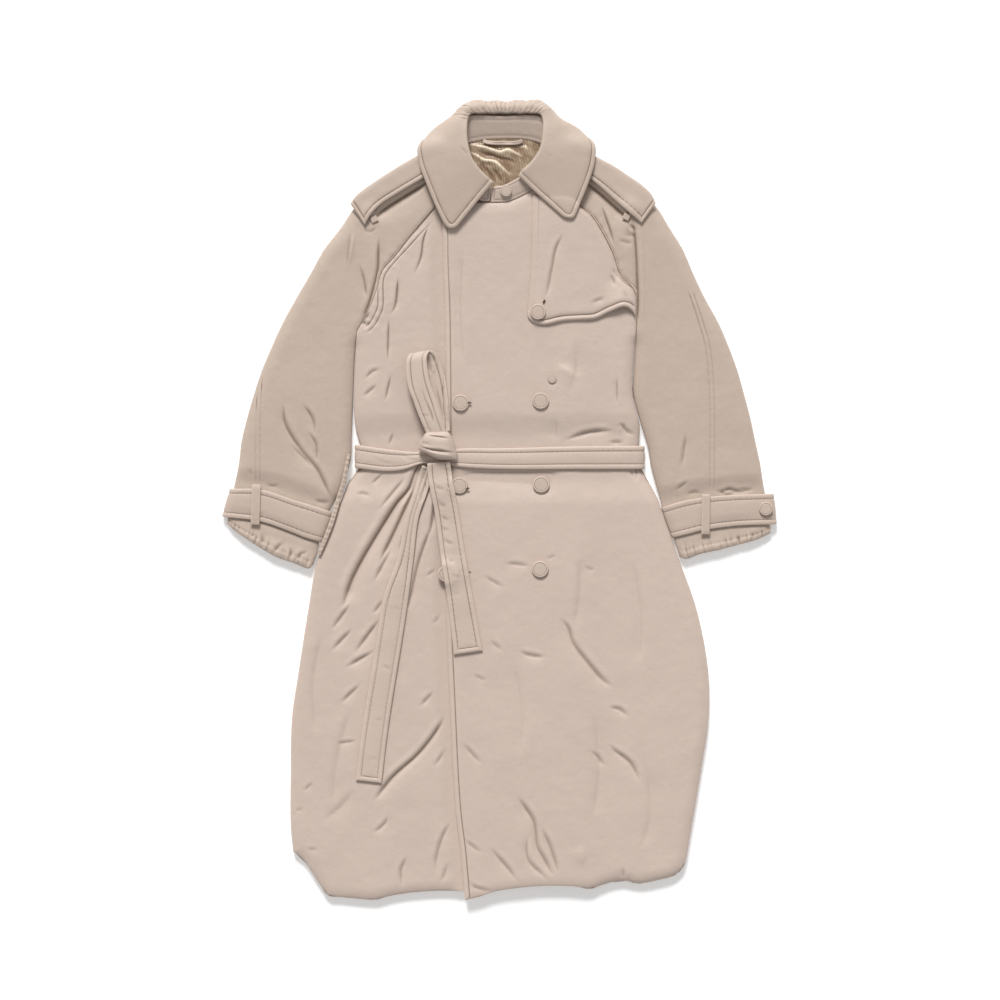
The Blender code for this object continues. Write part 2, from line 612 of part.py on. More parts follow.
def cuff(name, table, strap):
    """The gathered end of a sleeve, below its strap."""
    up = np.array((0.0, 0.14, 0.50, 1.0))
    across = np.linspace(0.0, 1.0, 3 * CUFF_WAVES + 1)
    first, last = along(smooth(table["inner"]), up), along(smooth(table["outer"]), up)
    grid = patch(table["end"], table["top"], first, last, across)
    gather = np.sin(math.tau * CUFF_WAVES * across + 0.6)[None, :] * (1.0 - ease(up / 0.75))[:, None]
    sides = np.concatenate([grid[:, 0], grid[::-1, -1]])
    distance = edge_distance(grid, sides)
    at_strap = nearest_share(np.maximum(distance_to_line(grid, strap) - 0.040, 0.0), 0.020)
    full = CUFF_LOFT - 0.0020 * at_strap - 0.0030 * (1.0 - ease(up / 0.35))[:, None]
    raised = full - SLEEVE_SIDE_TOP + CUFF_WAVE_HEIGHT * gather
    crown = SLEEVE_SIDE_TOP + raised * round_off(distance, 0.018)
    foot = np.maximum(SLEEVE_SIDE_FOOT * (1.0 - round_off(distance, 0.014)), STRAP_UNDER * at_strap)
    return flat_tube(name, grid, foot, crown, SHELL)


def hoop(name, upper, lower, thickness, under, heap, steps, turn_share, columns=4, reach=0.012, rise=0.0):
    """A strap that lies over flat cloth and returns under it along the floor, between two edge curves."""
    sides = np.linspace(0.0, 1.0, columns)[None, :, None]

    def across(fractions):
        """Plan points at fractions of both edges."""
        low, high = along(smooth(lower), fractions), along(smooth(upper), fractions)
        return low[:, None] * (1 - sides) + high[:, None] * sides

    near = turn_share
    over = across(np.linspace(near, 1.0 - near, steps))
    top = heap.rest(over, reach) + thickness / 2 + rise
    low = under / 2
    turn = np.array(((0.50, 0.94), (0.08, 0.74), (0.0, 0.42), (0.08, 0.12), (0.42, 0.0)))
    rows, walls = [lift(over, top)], [np.full(steps, thickness)]
    for end in (1, 0):
        shares = near * turn[:, 0]
        plan = across(1.0 - shares if end else shares[::-1])
        level = turn[:, 1] if end else turn[::-1, 1]
        height = top[-1] if end else top[0]
        rows.append(lift(plan, low + (height[None] - low) * level[:, None]))
        walls.append(under + (thickness - under) * level)
        if end:
            below = across(np.linspace(1.0 - near, near, max(steps // 2, 3)))
            rows.append(lift(below, np.full(below.shape[:2], low)))
            walls.append(np.full(len(below), under))
    middle = np.concatenate(rows)
    return band(name, middle, np.concatenate(walls)[:, None], TRIM, round_rows=True, edge_share=1.0)


# The belt round the waist, by its upper and lower edge
BELT = {
    "upper": (
        (-0.231, 0.0895), (-0.1824, 0.0824), (-0.136, 0.0776), (-0.098, 0.078), (-0.064, 0.083),
        (0.0, 0.0835), (0.12, 0.0865), (0.23, 0.0875),
    ),
    "lower": (
        (-0.231, 0.052), (-0.1824, 0.0466), (-0.1536, 0.0493), (-0.1232, 0.059), (-0.09, 0.058),
        (-0.064, 0.0535), (0.0, 0.05), (0.12, 0.05), (0.23, 0.05),
    ),
}

# Strips that lie on the coat, each row the middle x and y, the half-width and the lift above what is below
LONG_TAIL = (
    (-0.1145, 0.052, 0.0102, 0.0), (-0.1204, 0.036, 0.0108, 0.0), (-0.128, 0.012, 0.0106, 0.0),
    (-0.1404, -0.0264, 0.0104, 0.0), (-0.1515, -0.0952, 0.013, 0.0), (-0.1663, -0.157, 0.0196, 0.0),
    (-0.1749, -0.2088, 0.0203, 0.0), (-0.1852, -0.2744, 0.02, 0.0), (-0.1946, -0.3312, 0.0202, 0.0),
    (-0.2027, -0.388, 0.0205, 0.0), (-0.2098, -0.4495, 0.0206, 0.0),
)
SHORT_TAIL = (
    (-0.098, 0.061, 0.0185, 0.0015), (-0.0953, 0.036, 0.0192, 0.0008), (-0.0853, -0.0184, 0.019, 0.0),
    (-0.075, -0.0888, 0.0199, 0.0), (-0.0664, -0.14, 0.0202, 0.0), (-0.0558, -0.2088, 0.0219, 0.0),
    (-0.0508, -0.2432, 0.0231, 0.0),
)
TAIL_THICK = 0.0050


def strip(name, rows, thickness, heap, finish, steps, columns=5):
    """A strip of doubled cloth that lies on what is below it, its middle line and width from its rows."""
    curve = along(smooth(rows), np.linspace(0.0, 1.0, steps))
    reach = 1.02 * np.linalg.norm(np.diff(curve[:, :2], axis=0), axis=1).max()
    heading = np.gradient(curve[:, :2], axis=0)
    heading /= np.linalg.norm(heading, axis=1, keepdims=True)
    across = np.stack([-heading[:, 1], heading[:, 0]], axis=-1)
    sides = np.linspace(-1.0, 1.0, columns)
    plan = curve[:, None, :2] + across[:, None] * (sides[None, :] * curve[:, 2:3])[..., None]
    height = heap.rest(plan, reach) + thickness / 2 + curve[:, 3:4]
    level = np.maximum(height, height.max(axis=1, keepdims=True) - 0.002)
    return band(name, lift(plan, level), thickness, finish)


# The half bow: the middle of the band from the knot, over the top and back down behind, with its half-width
BOW = (
    (-0.099, 0.113, 0.0355, 0.015), (-0.106, 0.15, 0.0365, 0.0158), (-0.118, 0.185, 0.036, 0.017),
    (-0.126, 0.215, 0.035, 0.0185), (-0.127, 0.23, 0.033, 0.019), (-0.124, 0.237, 0.029, 0.019),
    (-0.118, 0.23, 0.025, 0.019), (-0.112, 0.215, 0.0228, 0.019), (-0.104, 0.185, 0.0222, 0.0185),
    (-0.099, 0.15, 0.0222, 0.0175), (-0.096, 0.113, 0.025, 0.0165),
)
BOW_THICK = 0.0042


def bow(heap):
    """The loop of the half bow, folded over at its top."""
    curve = along(smooth(BOW), np.linspace(0.0, 1.0, 25))
    sides = np.linspace(-1.0, 1.0, 5)
    tilt = np.array((0.98, 0.18, 0.0))
    middle = curve[:, None, :3] + tilt * (sides[None, :] * curve[:, 3:4])[..., None]
    middle[..., 2] = np.maximum(middle[..., 2], heap.rest(middle[..., :2], 0.0025) + BOW_THICK / 2)
    return band("belt_bow", middle, BOW_THICK, TRIM)


# The knot: sections along its length, each a middle point, a half-width and a half-thickness
KNOT = (
    (-0.13, 0.0865, 0.029, 0.005, 0.0045), (-0.124, 0.089, 0.031, 0.0115, 0.008),
    (-0.118, 0.0915, 0.0325, 0.0164, 0.0098), (-0.098, 0.0878, 0.0335, 0.0218, 0.0105),
    (-0.0832, 0.0872, 0.033, 0.0224, 0.01), (-0.076, 0.0826, 0.032, 0.0178, 0.008),
    (-0.069, 0.0715, 0.0305, 0.007, 0.0045),
)


def knot(heap):
    """The knot, a fat roll of belt that is pressed flat where it lies on the belt."""
    curve = along(smooth(KNOT), np.linspace(0.0, 1.0, 9))
    sides = 12
    points = []
    for x, y, z, half_width, half_thick in curve:
        for k in range(sides):
            c, s = math.cos(math.tau * k / sides), math.sin(math.tau * k / sides)
            wide = half_width * math.copysign(abs(c) ** 0.65, c)
            level = z + half_thick * math.copysign(abs(s) ** 0.75, s)
            if s < 0.1:
                level = max(level, heap.top(x, y + wide, 0.008) + LAY_GAP)
            points.append((x, y + wide, level))
    faces = [tuple(range(sides)), tuple(range(8 * sides, 9 * sides))[::-1]]
    for i in range(8):
        for k in range(sides):
            a, b = i * sides + k, i * sides + (k + 1) % sides
            faces.append((a, a + sides, b + sides, b))
    return add_piece("belt_knot", points, faces, TRIM)


# The storm flap on the left chest
FLAP = {
    "left": ((0.044, 0.305), (0.046, 0.33), (0.049, 0.362), (0.051, 0.41), (0.0515, 0.45), (0.0525, 0.48)),
    "hem": (
        (0.044, 0.305), (0.0445, 0.293), (0.053, 0.284), (0.07, 0.28), (0.1, 0.286), (0.128, 0.288),
        (0.152, 0.29), (0.178, 0.302), (0.2, 0.309), (0.211, 0.302), (0.2165, 0.294),
    ),
    "right": (
        (0.2165, 0.294), (0.217, 0.31), (0.215, 0.328), (0.209, 0.339), (0.199, 0.348), (0.1895, 0.359),
        (0.1845, 0.374), (0.1785, 0.393), (0.1685, 0.414), (0.1575, 0.434), (0.1445, 0.453), (0.128, 0.467),
        (0.117, 0.479),
    ),
    "top": ((0.0525, 0.48), (0.074, 0.485), (0.096, 0.486), (0.117, 0.479)),
}
FLAP_THICK = 0.0055


def storm_flap(heap):
    """The storm flap, whose hem lifts in a wave near the armhole."""
    across = spaced(0.14, (0.0, 0.008), 9)
    up = spaced(0.19, (0.0, 0.008), 7)
    first, last = along(smooth(FLAP["left"]), up), along(smooth(FLAP["right"]), up)
    grid = patch(FLAP["hem"], FLAP["top"], first, last, across)
    from_hem = edge_distance(grid, np.concatenate([grid[0], grid[0, ::-1]]))
    wave = 0.0065 * np.exp(-(((grid[..., 0] - 0.192) / 0.022) ** 2)) * np.exp(-((from_hem / 0.030) ** 2))
    foot = heap.rest(grid, 0.008) + wave
    crown = foot + loft(grid, 0.0035, FLAP_THICK, 0.010)
    crown += fold_height(grid, ((0.100, 0.440, 0.072, 0.320, 0.010, -0.0018),))
    return wall("storm_flap", lift(grid, foot), lift(grid, crown), SHELL)


# Epaulettes: their upper and their lower edge, from under the collar to the shoulder tip
RIGHT_EPAULETTE = {
    "upper": (
        (-0.12, 0.558), (-0.1333, 0.5506), (-0.1616, 0.5342), (-0.1904, 0.516), (-0.217, 0.4976),
        (-0.2312, 0.4856), (-0.239, 0.474),
    ),
    "lower": (
        (-0.11, 0.5225), (-0.1232, 0.5144), (-0.1584, 0.4936), (-0.1904, 0.4731), (-0.206, 0.457),
        (-0.216, 0.44),
    ),
}
LEFT_EPAULETTE = {
    "upper": (
        (0.14, 0.557), (0.1536, 0.5496), (0.1824, 0.5342), (0.2048, 0.5192), (0.2272, 0.5037),
        (0.2416, 0.4894), (0.249, 0.475),
    ),
    "lower": (
        (0.132, 0.524), (0.1456, 0.5128), (0.1638, 0.4976), (0.184, 0.4792), (0.206, 0.46), (0.2262, 0.443),
    ),
}
EPAULETTE_THICK = 0.0060
EPAULETTE_LEVEL = 0.0240


def epaulette(name, edges, heap):
    """A padded shoulder strap that stands a little off the sleeve, with its end cut on a slant."""
    stations = np.linspace(0.0, 1.0, 12)
    sides = np.linspace(0.0, 1.0, 6)[None, :, None]
    lower, upper = along(smooth(edges["lower"]), stations), along(smooth(edges["upper"]), stations)
    plan = lower[:, None] * (1 - sides) + upper[:, None] * sides
    height = np.maximum(EPAULETTE_LEVEL, heap.rest(plan, 0.007) + EPAULETTE_THICK / 2)
    return band(name, lift(plan, height), EPAULETTE_THICK, TRIM, edge_share=0.7)


# The neck: lining, stand and collar
LINING_OUTLINE = {
    "bottom": ((-0.056, 0.489), (-0.014, 0.483), (0.03, 0.492), (0.056, 0.506)),
    "top": ((-0.05, 0.558), (-0.02, 0.568), (0.004, 0.57), (0.035, 0.569), (0.06, 0.561)),
    "left": ((-0.056, 0.489), (-0.0555, 0.52), (-0.05, 0.558)),
    "right": ((0.056, 0.506), (0.061, 0.53), (0.06, 0.561)),
}
LINING_FOLDS = (
    (-0.045, 0.556, 0.045, 0.536, 0.007, 0.0045), (-0.04, 0.532, 0.03, 0.505, 0.008, 0.004),
    (0.03, 0.56, 0.05, 0.545, 0.006, 0.0035),
)


def lining():
    """The satin lining of the back, where the open neck shows it."""
    outline = LINING_OUTLINE
    steps = np.linspace(0.0, 1.0, 10)
    first, last = along(smooth(outline["left"]), steps), along(smooth(outline["right"]), steps)
    grid = patch(outline["bottom"], outline["top"], first, last, steps)
    foot = np.full(grid.shape[:2], BACK_TOP + LAY_GAP)
    crown = foot + 0.0022 + fold_height(grid, LINING_FOLDS)
    return wall("lining", lift(grid, foot), lift(grid, crown), LINING)


# The stand, section by section round the neck from its lapped end: its seam edge and its top edge
STAND = (
    (-0.015, 0.4767, 0.0212, -0.012, 0.501, 0.025), (-0.002, 0.4769, 0.0212, -0.001, 0.502, 0.0255),
    (0.011, 0.4778, 0.0212, 0.008, 0.5045, 0.026), (0.03, 0.4848, 0.0212, 0.023, 0.512, 0.027),
    (0.05, 0.4962, 0.0212, 0.04, 0.522, 0.029), (0.069, 0.5105, 0.0215, 0.056, 0.536, 0.0305),
    (0.078, 0.537, 0.021, 0.066, 0.56, 0.031), (0.072, 0.566, 0.015, 0.0665, 0.595, 0.0285),
    (0.048, 0.5765, 0.011, 0.051, 0.612, 0.0235), (0.004, 0.579, 0.011, 0.004, 0.6145, 0.023),
    (-0.04, 0.5745, 0.011, -0.043, 0.612, 0.0235), (-0.064, 0.565, 0.015, -0.053, 0.595, 0.0285),
    (-0.07, 0.537, 0.021, -0.056, 0.56, 0.031), (-0.064, 0.512, 0.022, -0.05, 0.532, 0.0305),
    (-0.048, 0.49, 0.0215, -0.039, 0.513, 0.029), (-0.03, 0.4795, 0.0205, -0.026, 0.504, 0.025),
    (-0.016, 0.4785, 0.019, -0.0135, 0.501, 0.0225),
)
STAND_THICK = 0.0040


def stand():
    """The collar stand, a band round the neck with its left end lapped over the right one and buttoned."""
    table = np.array(STAND)
    count = 30
    low = along(smooth(table[:, :3]), np.linspace(0.0, 1.0, count))
    high = along(smooth(table[:, 3:]), np.linspace(0.0, 1.0, count))
    across = np.linspace(0.0, 1.0, 4)[None, :, None]
    middle = low[:, None] * (1 - across) + high[:, None] * across
    return band("collar_stand", middle, STAND_THICK, TRIM)


# The collar, section by section from the right leaf's front edge round the back to the left leaf's:
# four points across it, from the roll at the neck to the edge of the leaf
COLLAR = (
    ((-0.01, 0.508, 0.0345), (-0.031, 0.483, 0.0345), (-0.053, 0.456, 0.033), (-0.075, 0.429, 0.031)),
    ((-0.02, 0.517, 0.037), (-0.043, 0.492, 0.035), (-0.064, 0.464, 0.033), (-0.086, 0.438, 0.031)),
    ((-0.034, 0.531, 0.0385), (-0.058, 0.508, 0.036), (-0.081, 0.486, 0.034), (-0.101, 0.466, 0.032)),
    ((-0.045, 0.548, 0.039), (-0.068, 0.531, 0.037), (-0.093, 0.514, 0.035), (-0.116, 0.502, 0.0325)),
    ((-0.05, 0.566, 0.0385), (-0.075, 0.556, 0.037), (-0.102, 0.545, 0.035), (-0.129, 0.538, 0.032)),
    ((-0.052, 0.581, 0.037), (-0.08, 0.576, 0.035), (-0.11, 0.569, 0.033), (-0.131, 0.564, 0.03)),
    ((-0.052, 0.595, 0.035), (-0.076, 0.596, 0.0325), (-0.106, 0.589, 0.02), (-0.108, 0.58, 0.0065)),
    ((-0.051, 0.608, 0.0315), (-0.064, 0.613, 0.03), (-0.079, 0.611, 0.016), (-0.078, 0.596, 0.005)),
    ((-0.047, 0.616, 0.029), (-0.049, 0.63, 0.028), (-0.05, 0.635, 0.013), (-0.049, 0.606, 0.004)),
    ((-0.022, 0.618, 0.0275), (-0.022, 0.631, 0.027), (-0.022, 0.637, 0.013), (-0.022, 0.604, 0.0035)),
    ((0.004, 0.618, 0.0275), (0.004, 0.63, 0.027), (0.004, 0.6355, 0.013), (0.004, 0.603, 0.0035)),
    ((0.033, 0.618, 0.0275), (0.033, 0.631, 0.027), (0.033, 0.637, 0.013), (0.033, 0.604, 0.0035)),
    ((0.064, 0.616, 0.029), (0.066, 0.63, 0.028), (0.068, 0.635, 0.013), (0.068, 0.606, 0.004)),
    ((0.068, 0.606, 0.0315), (0.081, 0.611, 0.03), (0.096, 0.609, 0.016), (0.094, 0.596, 0.005)),
    ((0.068, 0.592, 0.035), (0.094, 0.592, 0.0325), (0.123, 0.592, 0.02), (0.122, 0.583, 0.0065)),
    ((0.067, 0.579, 0.037), (0.095, 0.576, 0.035), (0.126, 0.572, 0.033), (0.151, 0.568, 0.03)),
    ((0.064, 0.564, 0.0385), (0.093, 0.556, 0.037), (0.123, 0.547, 0.035), (0.151, 0.54, 0.032)),
    ((0.056, 0.549, 0.039), (0.084, 0.534, 0.037), (0.113, 0.517, 0.035), (0.141, 0.506, 0.0325)),
    ((0.044, 0.535, 0.0385), (0.071, 0.515, 0.036), (0.099, 0.492, 0.034), (0.127, 0.472, 0.032)),
    ((0.034, 0.526, 0.037), (0.06, 0.502, 0.035), (0.089, 0.476, 0.033), (0.118, 0.452, 0.031)),
    ((0.029, 0.518, 0.0345), (0.055, 0.493, 0.0345), (0.082, 0.469, 0.033), (0.108, 0.446, 0.031)),
)
COLLAR_THICK = 0.0062


def collar(heap):
    """The collar: two pointed leaves over the fronts, and the roll that turns under behind the neck."""
    table = np.array(COLLAR)
    stations = np.linspace(0.0, 1.0, 35)
    lines = [along(smooth(table[:, k]), stations) for k in range(4)]
    sections = np.stack(lines, axis=1)
    middle = np.array([along(smooth(s), np.linspace(0.0, 1.0, 9)) for s in sections])
    over = middle[..., 2] > 0.029
    resting = heap.rest(middle[..., :2], 0.006) + COLLAR_THICK / 2
    middle[..., 2] = np.where(over, np.maximum(middle[..., 2], resting), middle[..., 2])
    return band("collar", middle, COLLAR_THICK, SHELL)


def button(name, x, y, radius, heap, height=BUTTON_HEIGHT, sides=16):
    """A cloth-covered button: a low dome with a rounded rim, turned about its own axis."""
    base = heap.top(x, y, radius * 0.95) + LAY_GAP
    profile = ((0.86, 0.0), (1.0, 0.30), (0.93, 0.72), (0.60, 1.0))
    points, faces = [], []
    for share, level in profile:
        for k in range(sides):
            turn = math.tau * k / sides
            points.append((x + radius * share * math.cos(turn), y + radius * share * math.sin(turn),
                           base + height * level))
    faces.append(tuple(range(sides))[::-1])
    for i in range(len(profile) - 1):
        for k in range(sides):
            a, b = i * sides + k, i * sides + (k + 1) % sides
            faces.append((a, b, b + sides, a + sides))
    last = (len(profile) - 1) * sides
    faces.append(tuple(range(last, last + sides)))
    return add_piece(name, points, faces, COVERED)


def keeper(name, rows, thickness, heap, finish, steps=9):
    """A narrow loop of cloth over what it holds, each row a middle point, a half-width and a lift."""
    return strip(name, rows, thickness, heap, finish, steps, columns=3)


BUTTONS = (
    ("button_upper_right", -0.063, 0.156, BUTTON_RADIUS),
    ("button_upper_left", 0.0648, 0.1592, BUTTON_RADIUS),
    ("button_middle_right", -0.065, 0.024, BUTTON_RADIUS),
    ("button_middle_left", 0.0656, 0.0256, BUTTON_RADIUS),
    ("button_lower_right", -0.086, -0.117, BUTTON_RADIUS),
    ("button_lower_left", 0.064, -0.1096, BUTTON_RADIUS),
    ("button_inner_anchor", 0.0832, 0.1944, 0.007),
)
CUFF_KEEPERS = {
    "right": (
        (-0.397, 0.0235, 0.0072, 0.0), (-0.394, 0.008, 0.0072, 0.0), (-0.388, -0.018, 0.0072, 0.0),
        (-0.383, -0.038, 0.0072, 0.0),
    ),
    "left": (
        (0.33, 0.008, 0.0068, 0.0), (0.329, -0.01, 0.0068, 0.0), (0.327, -0.035, 0.0068, 0.0),
        (0.3255, -0.053, 0.0068, 0.0),
    ),
}
SHOULDER_KEEPERS = {
    "right": ((-0.208, 0.466, 0.0055, 0.0), (-0.204, 0.456, 0.0055, 0.0), (-0.199, 0.445, 0.0055, 0.0)),
    "left": ((0.208, 0.47, 0.0055, 0.0), (0.205, 0.46, 0.0055, 0.0), (0.2, 0.449, 0.0055, 0.0)),
}
HANGER = (
    (-0.027, 0.5765, 0.0026, 0.0), (-0.018, 0.57, 0.0026, 0.0), (0.004, 0.566, 0.0026, 0.0),
    (0.027, 0.567, 0.0026, 0.0), (0.036, 0.5735, 0.0026, 0.0),
)


def build():
    """Makes every piece, from the surface up."""
    clear_scene()
    heap = Heap()
    heap.add(back(), front_right(), front_left())
    heap.add(sleeve("sleeve_right", RIGHT_SLEEVE, RIGHT_SEAM, RIGHT_STRAP["middle"], 1.0))
    heap.add(sleeve("sleeve_left", LEFT_SLEEVE, LEFT_SEAM, LEFT_STRAP["middle"], -1.0))
    heap.add(cuff("cuff_right", RIGHT_CUFF, RIGHT_STRAP["middle"]))
    heap.add(cuff("cuff_left", LEFT_CUFF, LEFT_STRAP["middle"]))
    heap.add(lining())
    for side, strap in (("right", RIGHT_STRAP), ("left", LEFT_STRAP)):
        heap.add(hoop(f"cuff_strap_{side}", strap["upper"], strap["lower"], STRAP_THICK,
                      STRAP_UNDER - SEAM_GAP, heap, 9, 0.10))
        heap.add(keeper(f"cuff_keeper_{side}", CUFF_KEEPERS[side], 0.0026, heap, TRIM))
        heap.add(keeper(f"shoulder_keeper_{side}", SHOULDER_KEEPERS[side], 0.0024, heap, TRIM, steps=5))
    heap.add(epaulette("epaulette_right", RIGHT_EPAULETTE, heap))
    heap.add(epaulette("epaulette_left", LEFT_EPAULETTE, heap))
    heap.add(storm_flap(heap))
    heap.add(stand())
    heap.add(collar(heap))
    heap.add(keeper("hanger_loop", HANGER, 0.0020, heap, TRIM, steps=15))
    heap.add(hoop("belt", BELT["upper"], BELT["lower"], BELT_THICK, BELT_UNDER, heap, 20, 0.03, columns=5))
    for name, x, y, radius in BUTTONS:
        heap.add(button(name, x, y, radius, heap, BUTTON_HEIGHT * radius / BUTTON_RADIUS))
    heap.add(button("button_flap", 0.0605, 0.3010, 0.0125, heap))
    heap.add(button("button_stand", 0.0096, 0.4945, 0.0092, heap, 0.0036))
    heap.add(button("button_cuff_left", 0.4250, -0.0130, 0.0110, heap))
    heap.add(strip("belt_tail_long", LONG_TAIL, TAIL_THICK, heap, TRIM, 26, columns=4))
    heap.add(strip("belt_tail_short", SHORT_TAIL, TAIL_THICK, heap, TRIM, 19, columns=4))
    loop = bow(heap)
    heap.add(knot(heap), loop)


build()
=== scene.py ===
"""The dressed trench coat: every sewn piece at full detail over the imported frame, with its cloth and light.

Units are metres. +X is to the right of someone who looks down at the front, +Y points to the collar and
+Z is up. Left and right in the names are the wearer's.
"""

from __future__ import annotations

import logging
import math
from dataclasses import dataclass
from enum import Enum
from typing import Any, Sequence

import bmesh
import bpy
import numpy as np
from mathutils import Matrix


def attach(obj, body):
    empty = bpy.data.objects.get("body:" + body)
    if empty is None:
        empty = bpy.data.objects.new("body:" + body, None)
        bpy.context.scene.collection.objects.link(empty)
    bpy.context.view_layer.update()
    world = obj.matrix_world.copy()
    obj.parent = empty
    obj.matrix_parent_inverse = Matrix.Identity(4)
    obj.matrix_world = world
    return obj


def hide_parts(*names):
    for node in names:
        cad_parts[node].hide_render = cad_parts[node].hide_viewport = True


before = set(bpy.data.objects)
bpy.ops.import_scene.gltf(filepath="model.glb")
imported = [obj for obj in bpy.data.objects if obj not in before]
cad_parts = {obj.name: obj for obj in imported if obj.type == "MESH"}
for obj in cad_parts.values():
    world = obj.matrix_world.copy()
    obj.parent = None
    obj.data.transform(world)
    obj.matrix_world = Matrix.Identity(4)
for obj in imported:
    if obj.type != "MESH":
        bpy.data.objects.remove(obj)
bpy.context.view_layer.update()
LOG = logging.getLogger("coat")

Array = np.ndarray
Points = Sequence[Sequence[float]]
Colour = tuple[float, float, float]


def mm(columns: int, *values: float) -> Points:
    """Rows of so many columns from values in millimetres, as metres."""
    return tuple(tuple(v / 1000.0 for v in values[k:k + columns]) for k in range(0, len(values), columns))


# How finely the cloth is cut up, in metres between two points
STEP = 0.0021
STRIDE = 6
RIM = (0.0, 0.0006, 0.0016, 0.003, 0.0048, 0.0062, 0.0072, 0.008, 0.0088, 0.0098, 0.0115)

# Layers of the flat coat, as heights above the surface that it lies on
SEAM_GAP = 0.0005
BACK_TOP = 0.0075
FRONT_FOOT = BACK_TOP + SEAM_GAP
UNDERLAP_TOP = FRONT_FOOT + 0.0075
OVERLAP_FOOT = UNDERLAP_TOP + SEAM_GAP
LAY_GAP = 0.0004
BELT_Y = 0.068
BELT_UNDER = 0.0034
STRAP_UNDER = 0.0038
UNDERLAP_EDGE = 0.086
MIRRORED = np.array((-1.0, 1.0))
HEM_REACH = 0.28
NECK_REACH = 0.1
SLIT_TOP = 0.008
SLIT_FOOT = 0.007

# Rows up the body: the rolled hem's, the even ones to the armpit, and the raglan seam above it
HEM_ROWS = -0.639 + np.array((0.0, 0.0006, 0.0016, 0.003, 0.0048, 0.007))
EVEN_ROWS = (-0.6295, 0.268)
ARMPIT_Y = 0.27
RAGLAN_LENGTH = 0.255

# What divides a tube's columns, how much tighter the raglan seam's edge is rounded, and a strip's least share
COLUMNS = 18
SEAM_TIGHTER = 0.011
THINNEST_SHARE = 0.25

# The spacing and the slant of the lining's ribs
RIB = 0.0043
RIB_SLANT = (0.97, 0.24)

# Outlines of the body, each row a height y and the x of the edge there, from the hem up to the neck
Y, X = 0, 1
RIGHT_SIDE = mm(
    2, -562, -331, -521, -335, -431, -335, -348, -333, -271, -322, -175, -307, -98, -293, -31, -267, 1, -254,
    33, -240, 46, -225.5, 68, -221.5, 90, -224.5, 113, -231, 161, -233.8, 217, -232.2, 270, -229,
)
RIGHT_RAGLAN = mm(
    2, 297, -214, 324, -202, 348, -194, 366, -189, 390, -168, 418, -146, 446, -123, 471, -101, 490, -85,
)
RIGHT_NECK_SIDE = mm(2, 515, -74, 542, -67, 564, -62)
LEFT_SIDE = mm(
    2, -569, 299, -521, 307, -431, 322, -348, 334, -271, 333, -175, 315, -98, 288, -31, 264, 1, 253, 33, 236,
    46, 225.5, 68, 221.5, 90, 222.5, 121, 223.5, 145, 217.5, 169, 212.5, 217, 213.4, 273, 218,
)
LEFT_RAGLAN = mm(
    2, 305, 219, 329, 217, 341, 211, 350, 201, 360, 192, 374, 187, 393, 181, 414, 171, 434, 160, 454, 147,
    468, 130, 492, 108, 516, 94,
)
LEFT_NECK_SIDE = mm(2, 535, 84, 552, 76, 568, 70)
FRONT_EDGE = mm(
    2, -639, -56, -604, -59, -559, -63, -503, -70, -431, -75, -345, -79, -202, -85, -95, -86, 68, -86, 225,
    -87, 305, -88, 385, -91, 476, -92,
)
UNDERLAP_SIDE = (
    (-0.604, UNDERLAP_EDGE), (-0.3, UNDERLAP_EDGE), (0.068, UNDERLAP_EDGE), (0.51, UNDERLAP_EDGE),
)
LAP_LINE = mm(
    2, -625, -57, -559, -63, -503, -70, -431, -75, -345, -79, -202, -85, -95, -86, 68, -86, 225, -87, 305,
    -88, 385, -88, 430, -84, 478, -60,
)

# Hems and necklines, each row an x and a y, from -X to +X
RIGHT_HEM = mm(
    2, -331, -562, -315, -574, -299, -598, -286, -618, -275, -632, -254, -635, -232, -637, -200, -639, -176,
    -633, -144, -628, -104, -625, -57, -625,
)
LAP_HEM = ((-0.057, -0.625), (0.01, -0.611), (UNDERLAP_EDGE, -0.604))
LEFT_HEM = mm(
    2, -56, -639, -32, -633, -8, -625, 24, -620, 72, -616, 120, -617, 144, -621, 168, -614, 195, -608, 221,
    -613, 256, -607, 279, -600, 293, -587, 299, -569,
)
BACK_HEM = mm(
    2, -331, -562, -312, -580, -290, -606, -270, -626, -200, -631, -100, -618, 24, -612, 144, -614, 230,
    -606, 272, -597, 291, -584, 299, -569,
)
RIGHT_NECKLINE = mm(2, -85, 490, -73, 483, -60, 478)
LAP_NECKLINE = ((-0.06, 0.478), (-0.014, 0.473), (0.04, 0.486), (UNDERLAP_EDGE, 0.51))
LEFT_NECKLINE = mm(2, -92, 476, -64, 477, -40, 476, -14, 476, 11, 477, 30, 484, 49, 495, 70, 508, 94, 516)
BACK_NECKLINE = mm(2, -62, 564, -30, 572, 4, 575, 38, 574, 70, 568)

